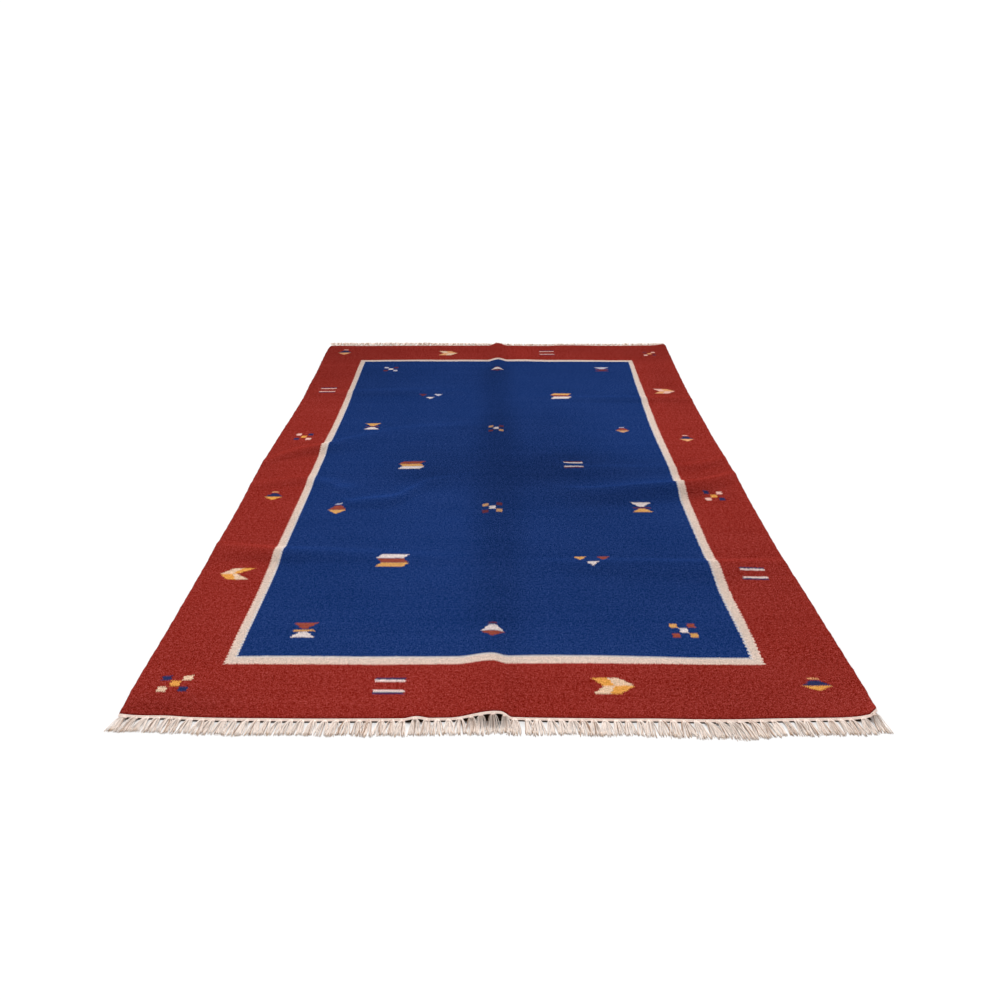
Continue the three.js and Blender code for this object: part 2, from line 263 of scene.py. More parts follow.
BAND_END_LINES = table("x outer_near inner_near inner_far outer_far", [
    (-760, -1306, -1274, 1222, 1250),
    (-600, -1307, -1273, 1230, 1253),
    (-440, -1309, -1276, 1233, 1256),
    (-330, -1312, -1279, 1229, 1253),
    (-150, -1309, -1278, 1230, 1255),
    (0, -1308, -1276, 1225, 1252),
    (150, -1308, -1274, 1224, 1256),
    (280, -1307, -1275, 1221, 1250),
    (430, -1311, -1281, 1220, 1248),
    (560, -1314, -1287, 1219, 1241),
    (760, -1316, -1289, 1216, 1240),
])

# The cream band is a little pinker along its outer edge, and greyer for some way inside its inner edge
BLUSH_WIDTH = 4
MILK_WIDTH = 5

# Dyed threads, in the order in which the shader counts them, as the colours that they show
THREADS = {
    "blue": (26, 52, 107),
    "milk": (205, 200, 202),
    "cream": (216, 194, 180),
    "blush": (232, 198, 182),
    "red": (143, 44, 36),
    "white": (234, 208, 200),
    "pink": (234, 184, 170),
    "ivory": (228, 194, 164),
    "pale": (220, 205, 202),
    "lilac": (190, 186, 200),
    "yellow": (227, 158, 76),
    "gold": (210, 154, 90),
    "ochre": (196, 148, 106),
    "apricot": (226, 160, 110),
    "rust": (146, 70, 57),
    "maroon": (100, 50, 62),
    "navy": (46, 50, 90),
}

# In the shader, how close a number has to be to a whole one to count as it
WHOLE_WITHIN = 0.4

# Noise over the weaving: the width and the length of its patches, how fine its detail is, and a seed
NOISE_ROUGHNESS = 0.7
NOISES = {
    "stray_across": (21, 13, 1, 2.9),
    "stray_along": (17, 26, 1, 6.3),
    "patches": (330, 190, 2, 3.1),
    "lots": (1500, 30, 2, 7.7),
    "streaks": (40, PICK_PITCH, 1, 1.3),
    "mottle": (11, 8, 1, 8.3),
    "flecks": (3.6, 2.7, 1, 5.9),
}

# How far the wool's lightness varies with each noise, the share of that in pale wool, how much greyer
# lighter wool is, and the shade painted into the cloth: painted shade towards the far end, along the
# middle fold and in some broad patches, of which those with a depth below 0 are painted highlights
LIGHTNESS = {"patches": 0.15, "lots": 0.15, "streaks": 0.4, "mottle": 0.7, "flecks": 2.1}
PALE_SHARE = 0.6
GREYING = 0.16
FAR_PAINTED_SHADE = 0.18
FAR_PAINTED_SHADE_FROM = (1130, 1400)
# Painted shade along the middle fold, from place to place along the rug: its depth, and its reach left and
# right of the middle
CENTRE_PAINTED_SHADE = table("y depth left right", [
    (-1510, 0.04, 110, 110),
    (-1300, 0.07, 120, 120),
    (-1100, 0.14, 150, 150),
    (-900, 0.14, 150, 160),
    (-700, 0.18, 150, 170),
    (-500, 0.2, 150, 170),
    (-300, 0.2, 170, 170),
    (-100, 0.12, 170, 170),
    (100, 0.17, 160, 170),
    (300, 0.24, 130, 160),
    (500, 0.2, 130, 150),
    (750, 0.17, 140, 140),
    (900, 0.18, 140, 140),
    (1050, 0.22, 140, 130),
    (1200, 0.08, 120, 110),
    (1400, 0, 120, 110),
])
# Painted shade in broad soft patches, and painted highlights along fold crests and in some patches where
# the depth is below 0
PAINTED_SHADE_AND_HIGHLIGHTS = table("x y half_width half_length depth", [
    (420, -850, 330, 330, 0.1),
    (330, -360, 260, 130, 0.09),
    (210, -90, 300, 240, 0.24),
    (200, 330, 200, 200, 0.1),
    (-240, -10, 220, 190, 0.15),
    (650, 280, 240, 420, -0.05),
    (50, 1130, 700, 230, 0.06),
    (-250, -650, 170, 420, -0.06),
    (-900, 1050, 480, 420, 0.21),
    (150, 1390, 90, 110, -0.13),
    (-900, -1480, 190, 60, 0.18),
    (930, -950, 230, 500, 0.09),
    (620, -1450, 330, 130, 0.1),
    (-300, -160, 200, 80, 0.13),
    (600, -100, 300, 90, 0.1),
    (180, -170, 110, 90, 0.1),
    (330, 0, 190, 60, 0.1),
    (900, 900, 130, 420, 0.11),
    (-100, 300, 110, 110, 0.1),
    (450, -390, 180, 50, 0.1),
    (720, -320, 220, 50, 0.14),
    (400, -262, 120, 24, -0.14),
    (560, -243, 110, 25, -0.2),
    (700, -224, 90, 26, -0.26),
    (-530, -352, 80, 18, -0.1),
    (-430, -333, 80, 24, -0.17),
    (-350, -275, 50, 30, -0.15),
    (-618, -243, 45, 22, -0.22),
    (-700, -200, 60, 24, -0.1),
    (-90, 950, 100, 250, 0.06),
    (-780, -780, 220, 36, 0.08),
])

# The small ornaments: where each lies in the weaving, its size and its threads
ORNAMENTS = [
    ("hourglass", -578, -1156, 74, 68, "rust gold pale"),
    ("diamond", -14, -1165, 72, 66, "maroon pale rust"),
    ("five", 557, -1165, 76, 67, "gold rust pale"),
    ("stack", -357, -787, 113, 70, "pale rust gold"),
    ("triangles", 328, -795, 124, 60, "gold rust pale"),
    ("diamond", -608, -431, 70, 80, "lilac rust gold"),
    ("five", -14, -434, 77, 72, "ochre maroon pale"),
    ("hourglass", 560, -426, 78, 71, "pale maroon gold"),
    ("stack", -360, -66, 110, 70, "rust gold pale"),
    ("bars", 322, -71, 80, 78, "maroon pale pale"),
    ("hourglass", -583, 333, 72, 66, "gold maroon pale"),
    ("five", -3, 294, 69, 66, "ochre maroon pale"),
    ("diamond", 583, 289, 65, 60, "lilac rust ochre"),
    ("triangles", -341, 701, 120, 60, "maroon lilac pale"),
    ("stack", 320, 701, 108, 74, "gold rust pale"),
    ("five", -585, 1103, 75, 70, "lilac maroon pale"),
    ("diamond", -7, 1082, 70, 68, "maroon pale maroon"),
    ("hourglass", 559, 1092, 79, 60, "lilac rust maroon"),
    ("five", -882, -1386, 84, 65, "navy ivory yellow"),
    ("bars", -293, -1397, 84, 64, "navy white white"),
    ("arrow", 316, -1400, 116, 62, "yellow ivory ivory"),
    ("diamond", 869, -1396, 84, 51, "apricot navy yellow"),
    ("left_arrow", -868, -862, 112, 66, "yellow ivory ivory"),
    ("diamond", -880, -328, 71, 68, "apricot navy yellow"),
    ("five", -880, 219, 76, 72, "pink navy yellow"),
    ("bars", -882, 790, 82, 74, "navy pink pink"),
    ("diamond", -890, 1390, 78, 92, "pink navy apricot"),
    ("arrow", -290, 1369, 106, 74, "ivory apricot apricot"),
    ("bars", 273, 1372, 84, 74, "navy pink pink"),
    ("five", 869, 1351, 70, 68, "maroon pink apricot"),
    ("bars", 856, -874, 84, 62, "navy white white"),
    ("five", 857, -339, 76, 72, "navy pink yellow"),
    ("diamond", 860, 196, 62, 66, "pink navy apricot"),
    ("arrow", 860, 768, 108, 62, "pink apricot apricot"),
]
ORNAMENT_MARGIN = 14
NO_ORNAMENT = -1

# How each ornament is charted, as shares of its width and height, from its near left corner: a block
# runs from one height to another, with its left and right edge at both, and one of the three threads
CHARTS = {
    "five": [
        (0.02, 0.31, 0, 0, 0.3, 0.3, 1),
        (0.02, 0.31, 0.7, 0.7, 1, 1, 0),
        (0.35, 0.66, 0.35, 0.35, 0.66, 0.66, 2),
        (0.7, 0.98, 0, 0, 0.3, 0.3, 0),
        (0.7, 0.98, 0.7, 0.7, 1, 1, 1),
    ],
    "diamond": [
        (0.02, 0.38, 0.46, 0, 0.54, 1, 2),
        (0.4, 0.8, 0.02, 0.36, 0.98, 0.64, 1),
        (0.89, 0.99, 0.32, 0.32, 0.68, 0.68, 0),
    ],
    "hourglass": [
        (0, 0.36, 0, 0.36, 1, 0.64, 2),
        (0.4, 0.51, 0.05, 0.1, 0.98, 0.9, 1),
        (0.57, 1, 0.4, 0, 0.6, 1, 0),
    ],
    "bars": [
        (0, 0.12, 0, 0, 1, 1, 0),
        (0.12, 0.25, 0, 0, 1, 1, 1),
        (0.75, 0.88, 0, 0, 1, 1, 1),
        (0.88, 1, 0, 0, 1, 1, 0),
    ],
    "arrow": [
        (0, 0.5, 0.01, 0.27, 0.39, 0.53, 1),
        (0, 0.5, 0.39, 0.53, 0.65, 1, 0),
        (0.5, 1, 0.27, 0, 0.53, 0.38, 0),
        (0.5, 1, 0.53, 0.38, 1, 0.63, 1),
    ],
    "left_arrow": [
        (0.02, 0.5, 0.27, 0, 0.53, 0.35, 0),
        (0.02, 0.5, 0.53, 0.35, 0.91, 0.49, 1),
        (0.5, 0.98, 0, 0.36, 0.35, 0.62, 1),
        (0.5, 0.98, 0.35, 0.62, 0.49, 1, 0),
    ],
    "stack": [
        (0.01, 0.34, 0, 0.17, 0.83, 1, 2),
        (0.36, 0.65, 0.17, 0.04, 0.97, 0.84, 1),
        (0.68, 0.99, 0, 0.17, 0.83, 1, 0),
    ],
    "triangles": [
        (0, 0.38, 0.49, 0.32, 0.51, 0.68, 2),
        (0.62, 1, 0.17, 0, 0.19, 0.36, 0),
        (0.62, 1, 0.81, 0.64, 0.83, 1, 1),
    ],
}

# The fringes' end bands: rows of cord, each of two yarns twisted together
BAND_GAP = 0.3
BAND_WIDTH = 8.5
BAND_INSET = 1
CORD_ROWS = 3
CORD_TURN = 9.2
CORD_STEPS = 10
CORD_YARN_RADIUS = 1.3
CORD_SPREAD = 0.6
CORD_LIFT = 2
CORD_CLIMB = 0.3
CORD_FLATNESS = 0.3

# The warp ends, knotted off in tassels: how many there are, how far inside the cloth's corners they
# start, and how far each strays from the even one
TASSEL_COUNT = 68
TASSEL_MARGINS = (5, -6)
PLACE_SPREAD = 2
LENGTH_SPREAD = 3
WIDTH_SPREAD = 5
LEAN_SPREAD = 5

# The yarns of a tassel: how thick they are, the share of its length that they reach, how they wave and
# cross, and how they fan out from the knot
WARPS_IN_TASSEL = 21
WARP_RADIUS = 0.95
WARP_RADII = (0.85, 1.1)
WARP_PROFILE = table("along thickness", [(0, 1), (0.2, 1), (0.8, 1.05), (0.95, 1.25), (1, 0.9)])
WARP_STEPS = 8
WARP_REACHES = (0.86, 1.04)
WARP_TUCK = 3
WARP_CROSSING = 7
WARP_WAVE = 1.6
WARP_WAVES = 1.4
FAN_OPENING = 0.5
TIP_INSET = 1

# How the yarns come down from a raised band, and how they are heaped: highest at the knot, and arched
FALL_SHARE = 0.6
FALL_POWER = 1.5
HEAP_LEAST = 0.6
HEAP_SPREAD = 3.0
HEAP_POWER = 1.2
HEAP_ARCH = 1.4

# The wound knot at a tassel's root
KNOT_START = 0.6
KNOT_CLEARANCE = 0.1
KNOT_HALF_WIDTH = 4.6
KNOT_HALF_HEIGHT = 1.5
KNOT_LENGTH = 3
KNOT_TURNS = 2.5
KNOT_STEPS = 24
KNOT_YARN_RADIUS = 1.0

# Every yarn is a tube: its sides, how far its ends are rounded, and on its map the blank rim of its
# cell, the share for each end, and how many cells the map of each kind of yarn has side by side
YARN_SIDES = 6
YARN_END = 0.5
MAP_INSET = 0.06
MAP_END = 0.03
CORD_MAP_COLUMNS = 1
KNOT_MAP_COLUMNS = 8
WARP_MAP_COLUMNS = 24

# How far the tassels' tips lean across the rug, how long they are and how wide, from place to place
NEAR_TASSELS = table("x lean length width", [
    (-990, -17, 48, 34),
    (-950, -19, 48, 37),
    (-915, -15, 48, 38),
    (-850, -9, 47, 35),
    (-700, -8, 47, 34),
    (-600, -8, 48, 34),
    (-300, -4, 49, 34),
    (-100, 0, 50, 34),
    (100, 4, 49, 33),
    (200, 8, 47, 34),
    (330, 3, 49, 34),
    (450, 6, 54, 35),
    (540, 18, 56, 35),
    (600, 24, 57, 35),
    (660, 20, 52, 34),
    (740, 10, 51, 34),
    (850, 8, 50, 34),
    (930, 12, 49, 35),
    (990, 8, 52, 38),
])
FAR_TASSELS = table("x lean length width", [
    (-990, -22, 60, 38),
    (-900, -12, 58, 36),
    (-500, -4, 56, 35),
    (-100, 0, 42, 33),
    (200, 2, 34, 31),
    (600, 4, 36, 31),
    (990, 6, 40, 33),
])

# The repeatable scramble that the tassels' uneven numbers come from
SCRAMBLE = {"square": 37, "step": 911, "kind": 577, "span": 1009}

# The two ends: the way out from the cloth, the kind that its uneven numbers have, and its yarns' tones
NEAR_END = {
    "name": "near", "row": CLOTH_NEAR, "outward": -1, "kind": 1,
    "tassels": NEAR_TASSELS, "tones": (0, 1),
}
# The far end's yarn tones reach lower, so that more of its yarns are darker: painted shade between the far
# tassels
FAR_END = {
    "name": "far", "row": CLOTH_FAR, "outward": 1, "kind": 5,
    "tassels": FAR_TASSELS, "tones": (-0.35, 0.85),
}

# Undyed cotton: most yarns, the darker ones, soiled tips, and the end bands, which are a little pinker
COTTON = (252, 238, 228)
COTTON_DARK = (182, 150, 128)
COTTON_TIP = (226, 188, 146)
COTTON_BAND = (250, 228, 216)
COTTON_ROUGHNESS = 0.9

# A yarn's tone is above 1 in the end bands, and in the tassels from 1 for a light yarn down to 0 or
# less. How far below 1 a yarn darkens, and which yarns are soiled, how much, and how far along them
BAND_TONES = (1.2, 1.4)
BAND_TONE_FROM = 1.1
DARKENING = (0.7, 1.0)
SOILED_FROM = (0.1, 0.4)
SOILED_BELOW = 0.45
SOILED_ALONG = (0.7, 1.0)
SOILING = 0.7

# The fuzz of the yarn: its noise, how much it darkens the yarn, and its depth in metres
FUZZ_SCALE = 900
FUZZ_DETAIL = 2
FUZZ_RANGE = (0.35, 0.75)
FUZZ_DARKENING = 0.16
FUZZ_DEPTH = 0.0005

# The camera stands in front of the near end, at a standing height
CAMERA_PLACE = (-0.0023, -2.9945, 1.5)
CAMERA_DOWN = 29.565
CAMERA_TURN = 0.256
CAMERA_LENS = 28.04

# Soft studio light: a wide lamp high beyond the far end, and a pale room that is brightest low down
LAMP_STRENGTH = 3.1
LAMP_HEIGHT = 45
LAMP_WIDTH = 30
ROOM_LOW = 1.05
ROOM_HIGH = 0.39
ROOM_TILT = 0.32
ROOM_LOW_TOP = 0.24
ROOM_HIGH_START = 0.36
FLOOR_HALF = 60
FLOOR_DROP = 0.3
FLOOR_COLOUR = (0.93, 0.93, 0.93, 1)
FLOOR_ROUGHNESS = 0.9

# A painted shadow on a sheet just above the floor, dark under the rug and paler under the fringes: how
# far outside the cloth each shade of it lies, from 0 for the darkest to 1 for the floor's own, and how
# near the long sides it runs
PAINTED_FLOOR_SHADOWS = table("outside light", [
    (-300, 0),
    (10.9, 0),
    (11.3, 0.74),
    (26, 0.86),
    (42, 1),
])
PAINTED_SHADOW_LEFT = -978
PAINTED_SHADOW_RIGHT = 974
PAINTED_SHADOW_STRIPS = 160
PAINTED_SHADOW_DROP = 0.15
PAINTED_SHADOW_COLOUR = (0.1, 0.065, 0.045, 1)


def read(rows, place, column, at):
    """One column of a table at any place between its rows, on a smooth curve through them."""
    knots = rows[place]
    values = rows[column]
    order = np.arange(len(knots))
    before = np.maximum(order - 1, 0)
    after = np.minimum(order + 1, len(knots) - 1)
    slopes = (values[after] - values[before]) / (knots[after] - knots[before])
    at = np.clip(at, knots[0], knots[-1])
    k = np.clip(np.searchsorted(knots, at) - 1, 0, len(knots) - 2)
    span = knots[k + 1] - knots[k]
    t = (at - knots[k]) / span
    rest = 1 - t
    return (
        values[k] * (1 + 2 * t) * rest**2
        + values[k + 1] * (3 - 2 * t) * t**2
        + span * t * rest * (slopes[k] * rest - slopes[k + 1] * t)
    )


def crest(offset, flank_below, flank_above, shoulder=1):
    """A rounded crest that is 1 at its line and 0 one flank away."""
    t = np.minimum(np.abs(offset) / np.where(offset < 0, flank_below, flank_above), 1)
    return np.cos(t ** np.where(offset < 0, 1, shoulder) * np.pi / 2) ** 2


def centre_fold(x, y):
    names = ("x", "rise", "left", "right", "shoulder")
    line, rise, left, right, shoulder = (read(CENTRE_FOLD, "y", name, y) for name in names)
    return rise * crest(x - line, left, right, shoulder)


def cross_fold(fold, x, y):
    line, rise, near, far = (read(fold, "x", name, x) for name in ("y", "rise", "near", "far"))
    return np.maximum(rise, 0) * crest(y - line, near, far)


def edge_lift(lift, inside, y):
    """The lift of one long edge, for points a given distance inside it."""
    rise = np.maximum(read(lift, "y", "rise", y), 0)
    width = read(lift, "y", "width", y)
    return rise * np.clip(1 - np.maximum(inside, 0) / width, 0, 1) ** LIFT_SHARPNESS


def corner_curl(inside, y):
    """The curl of the near right corner, for points a given distance inside the right edge."""
    across = np.clip(1 - np.maximum(inside, 0) / CURL["width"], 0, 1)
    along = np.clip(1 - (y - CLOTH_NEAR) / CURL["length"], 0, 1)
    return CURL["rise"] * across * along


def ripple(x, y):
    away = np.minimum((y - RIPPLE["y"]) / RIPPLE["length"], 1)
    return RIPPLE["rise"] * (1 - away) * crest(x - RIPPLE["x"], RIPPLE["half_width"], RIPPLE["half_width"])


def swells(x, y):
    """The gentle unevenness of a cloth that lies on a floor, which is nothing where it touches."""
    total = np.full(np.shape(x), SWELL_FLOOR)
    for length, heading, start, rise in zip(*SWELLS.values()):
        along = x * math.cos(math.radians(heading)) + y * math.sin(math.radians(heading))
        total = total + rise * np.sin(2 * np.pi * along / length + start)
    return np.maximum(total, 0)


def stand_off(x, y):
    """How far the underside of the cloth stands off the floor."""
    x, y = np.broadcast_arrays(np.asarray(x, float), np.asarray(y, float))
    folds = [centre_fold(x, y), *(cross_fold(fold, x, y) for fold in CROSS_FOLDS)]
    inside_right = read(SIDES, "y", "right", y) - x
    right = edge_lift(RIGHT_LIFT, inside_right, y) + corner_curl(inside_right, y)
    left = edge_lift(LEFT_LIFT, x - read(SIDES, "y", "left", y), y)
    return np.max(folds, axis=0) + right + left + ripple(x, y) + swells(x, y)


def outline_shift():
    """The step from the tables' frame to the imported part's, which puts the same cloth in its box."""
    low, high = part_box("rug_cloth")
    y = np.linspace(CLOTH_NEAR, CLOTH_FAR, CELLS_ALONG)
    x = np.linspace(SIDES["left"].min(), SIDES["right"].max(), CELLS_ACROSS)
    middle_x = (read(SIDES, "y", "left", y).min() + read(SIDES, "y", "right", y).max()) / 2
    middle_y = (read(ENDS, "x", "near", x).min() + read(ENDS, "x", "far", x).max()) / 2
    return (low.x + high.x) / 2 - middle_x * MM, (low.y + high.y) / 2 - middle_y * MM


def to_part(points):
    """Points of the tables' frame, in millimetres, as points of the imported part, in metres."""
    return np.asarray(points) * MM + np.array([*outline_shift(), 0])


def cell_columns():
    """The even grid's columns, closer together where the cells are to be narrow."""
    x = np.linspace(-CLOTH_HALF_WIDTH, CLOTH_HALF_WIDTH, 2 * CLOTH_HALF_WIDTH + 1)
    density = 1 / read(CELL_WIDTHS, "x", "width", x)
    passed = np.concatenate([[0], np.cumsum((density[1:] + density[:-1]) / 2)])
    return np.interp(np.linspace(0, passed[-1], CELLS_ACROSS + 1), passed, x)


def selvage_wobble(y):
    waves = zip(*SELVAGE_WOBBLE.values())
    return sum(reach * np.sin(2 * np.pi * y / length + start) for length, start, reach in waves)


def place_in_outline(column, row):
    """Moves points of the even grid to their places inside the uneven outline."""
    across = (column + CLOTH_HALF_WIDTH) / (2 * CLOTH_HALF_WIDTH)
    left = read(SIDES, "y", "left", row) + selvage_wobble(row)
    right = read(SIDES, "y", "right", row) + selvage_wobble(-row)
    x = left + across * (right - left)
    along = (row - CLOTH_NEAR) / (CLOTH_FAR - CLOTH_NEAR)
    near = read(ENDS, "x", "near", x)
    far = read(ENDS, "x", "far", x)
    return x, near + along * (far - near)


def cloth_skins(x, y):
    """The high and the low skin of the cloth, half a thickness each side of its middle surface."""
    half = CLOTH_THICKNESS / 2
    rise_x = stand_off(x + SLOPE_STEP, y) - stand_off(x - SLOPE_STEP, y)
    rise_y = stand_off(x, y + SLOPE_STEP) - stand_off(x, y - SLOPE_STEP)
    rise_y[0] = 0
    rise_y[-1] = 0
    normal = np.stack([-rise_x, -rise_y, np.full(x.shape, 2.0 * SLOPE_STEP)], axis=-1)
    normal *= half / np.linalg.norm(normal, axis=-1, keepdims=True)
    middle = np.stack([x, y, stand_off(x, y) + half], axis=-1)
    return middle + normal, middle - normal


def straighten(place, wandering, straight):
    """Where places on the cloth lie on the loom, where lines that wander on the floor run straight."""
    moved = place + straight[0] - wandering[0]
    for k in range(len(straight) - 1):
        share = (place - wandering[k]) / (wandering[k + 1] - wandering[k])
        moved = np.where(place > wandering[k], straight[k] + share * (straight[k + 1] - straight[k]), moved)
    return np.where(place > wandering[-1], place + straight[-1] - wandering[-1], moved)


def woven_places(x, y):
    """Where points of the cloth lie on the loom."""
    long_lines = [read(BAND_LINES, "y", name, y) for name in BAND]
    cross_lines = [
        read(BAND_END_LINES, "x", name, x) if name in BAND_END_LINES else line
        for name, line in BAND_ENDS.items()
    ]
    across = straighten(x, long_lines, list(BAND.values()))
    along = straighten(y, cross_lines, list(BAND_ENDS.values()))
    return np.stack([across, along, np.zeros(len(x))], axis=-1)


def rim_loop(rows, columns):
    """The grid places round the rim, anticlockwise as seen from above, as row and column numbers."""
    last_row = rows - 1
    last_column = columns - 1
    near = [(0, j) for j in range(last_column)]
    right = [(i, last_column) for i in range(last_row)]
    far = [(last_row, j) for j in range(last_column, 0, -1)]
    left = [(i, 0) for i in range(last_row, 0, -1)]
    return near + right + far + left


def under_cell(i, j, rows, columns, index):
    """One cell of the underside, two of the top's cells wide and long, seen from below."""
    corners = [index[i, j], index[i + 2, j], index[i + 2, j + 2], index[i, j + 2]]
    if j + 2 == columns - 1:
        corners.insert(3, index[i + 1, j + 2])
    if i + 2 == rows - 1:
        corners.insert(2, index[i + 2, j + 1])
    if j == 0:
        corners.insert(1, index[i + 1, j])
    if i == 0:
        corners.append(index[i, j + 1])
    return corners


def cloth_mesh():
    """The cloth as one closed mesh: a fine top, a coarser underside and a rounded rim."""
    rows = CELLS_ALONG + 1
    columns = CELLS_ACROSS + 1
    row, column = np.meshgrid(np.linspace(CLOTH_NEAR, CLOTH_FAR, rows), cell_columns(), indexing="ij")
    x, y = place_in_outline(column, row)
    high, low = cloth_skins(x, y)
    rim = rim_loop(rows, columns)
    rim_i, rim_j = np.array(rim).T
    middle = (high[rim_i, rim_j] + low[rim_i, rim_j]) / 2
    inward = np.zeros((rows, columns, 3))
    inward[0, :, 1] = EDGE_ROUND
    inward[-1, :, 1] = -EDGE_ROUND
    inward[:, 0, 0] = EDGE_ROUND
    inward[:, -1, 0] = -EDGE_ROUND
    high = high + inward
    low = low + inward

    # Vertices: the top, the rim's outer line, and those of the underside that a face uses
    used = np.zeros((rows, columns), bool)
    used[::2, ::2] = True
    used[rim_i, rim_j] = True
    top = np.arange(rows * columns).reshape(rows, columns)
    outer = rows * columns + np.arange(len(rim))
    under = np.zeros((rows, columns), int)
    under[used] = rows * columns + len(rim) + np.arange(used.sum())
    points = np.concatenate([high.reshape(-1, 3), middle, low[used]])
    grid_place = np.concatenate([
        np.stack([row.ravel(), column.ravel()], axis=-1),
        np.stack([row[rim_i, rim_j], column[rim_i, rim_j]], axis=-1),
        np.stack([row[used], column[used]], axis=-1),
    ])

    faces = [
        under_cell(i, j, rows, columns, under)
        for i in range(0, rows - 1, 2)
        for j in range(0, columns - 1, 2)
    ]
    rim_start = len(faces)
    for k, (i, j) in enumerate(rim):
        next_k = (k + 1) % len(rim)
        next_i, next_j = rim[next_k]
        faces.append([under[i, j], under[next_i, next_j], outer[next_k], outer[k]])
        faces.append([outer[k], outer[next_k], top[next_i, next_j], top[i, j]])
    top_start = len(faces)
    corners = np.stack([top[:-1, :-1], top[:-1, 1:], top[1:, 1:], top[1:, :-1]], axis=-1)
    faces.extend(corners.reshape(-1, 4).tolist())
    return points, faces, grid_place, (rim_start, top_start)


def add_attribute(mesh, name, kind, domain, values):
    attribute = mesh.attributes.new(name, kind, domain)
    field = "vector" if kind == "FLOAT_VECTOR" else "value"
    attribute.data.foreach_set(field, np.asarray(values, np.float32).ravel())


def face_centres(mesh, values):
    """The mean over each face of values that the mesh's vertices have."""
    loops = np.zeros(len(mesh.loops), int)
    mesh.loops.foreach_get("vertex_index", loops)
    starts = np.zeros(len(mesh.polygons), int)
    mesh.polygons.foreach_get("loop_start", starts)
    totals = np.zeros(len(mesh.polygons), int)
    mesh.polygons.foreach_get("loop_total", totals)
    return np.add.reduceat(values[loops], starts, axis=0) / totals[:, None]


def mark_ornaments(mesh, woven):
    """Gives the faces under each ornament its place, its size, its chart and its threads."""
    centres = face_centres(mesh, woven)
    place = np.zeros((len(centres), 3))
    size = np.ones((len(centres), 3))
    threads = np.zeros((len(centres), 3))
    kinds = list(CHARTS)
    place[:, 2] = NO_ORNAMENT
    for kind, x, y, width, height, dyed in ORNAMENTS:
        inside = (np.abs(centres[:, 0] - x) < width / 2 + ORNAMENT_MARGIN) & (
            np.abs(centres[:, 1] - y) < height / 2 + ORNAMENT_MARGIN
        )
        place[inside] = (x, y, kinds.index(kind))
        size[inside] = (width, height, 0)
        threads[inside] = [thread_number(name) for name in dyed.split()]
    add_attribute(mesh, "ornament_place", "FLOAT_VECTOR", "FACE", place)
    add_attribute(mesh, "ornament_size", "FLOAT_VECTOR", "FACE", size)
    add_attribute(mesh, "ornament_threads", "FLOAT_VECTOR", "FACE", threads)


def map_cloth(mesh, grid_place, starts):
    """A flat map of the cloth that fills the square. Its two faces share it, and the rim has a strip."""
    v = (grid_place[:, 0] - CLOTH_NEAR) / (CLOTH_FAR - CLOTH_NEAR)
    u = (grid_place[:, 1] + CLOTH_HALF_WIDTH) / (2 * CLOTH_HALF_WIDTH)
    flat = np.stack([u, v], axis=-1)
    loops = np.zeros(len(mesh.loops), int)
    mesh.loops.foreach_get("vertex_index", loops)
    places = flat[loops]
    rim_loops = slice(mesh.polygons[starts[0]].loop_start, mesh.polygons[starts[1]].loop_start)
    rim = places[rim_loops].reshape(-1, 4, 2)
    towards_middle = np.where(np.abs(rim - 0.5) > 0.5 - 1e-6, np.sign(0.5 - rim), 0)
    steps = np.array([1, 1, 0, 0])[None, :, None]
    rim += steps * towards_middle * RIM_MAP_WIDTH
    places[rim_loops] = rim.reshape(-1, 2)
    layer = mesh.uv_layers.new(name="OFBake")
    layer.data.foreach_set("uv", places.astype(np.float32).ravel())


def add_object(name, data):
    """A new object in the scene, at the origin."""
    made = bpy.data.objects.new(name, data)
    bpy.context.scene.collection.objects.link(made)
    return made


def add_mesh(name, points, faces, material):
    """A new mesh object, from points in metres in the part's frame."""
    mesh = bpy.data.meshes.new(name)
    mesh.from_pydata(points.tolist(), [], faces)
    mesh.materials.append(material)
    return add_object(name, mesh)


def new_piece(name, points, faces, material, slot, *replaced):
    """A mesh that rides on the rug and stands for CAD nodes."""
    piece = add_mesh(name, to_part(points), faces, material)
    piece.data.shade_smooth()
    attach(piece, "root")
    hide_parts(*replaced)
    return piece


def painted_cloth_shade(x, y):
    """The shade painted into the cloth, along the middle fold and in patches; below 0 it is a painted
    highlight.
    """
    depth, left, right = (read(CENTRE_PAINTED_SHADE, "y", name, y) for name in ("depth", "left", "right"))
    total = depth * crest(x, left, right)
    for middle_x, middle_y, half_width, half_length, depth in zip(*PAINTED_SHADE_AND_HIGHLIGHTS.values()):
        away = ((x - middle_x) / half_width) ** 2 + ((y - middle_y) / half_length) ** 2
        total = total + depth * np.exp(-away)
    return total


def make_cloth(material):
    points, faces, grid_place, starts = cloth_mesh()
    piece = new_piece("kilim_cloth", points, faces, material, "kilim_wool", "rug_cloth")
    woven = woven_places(points[:, 0], points[:, 1])
    add_attribute(piece.data, "woven", "FLOAT_VECTOR", "POINT", woven)
    # Painted shade and highlights, which darken or lighten the wool's colour from place to place
    add_attribute(piece.data, "painted_shade", "FLOAT", "POINT", painted_cloth_shade(points[:, 0], points[:, 1]))
    mark_ornaments(piece.data, woven)
    map_cloth(piece.data, grid_place, starts)
    return piece


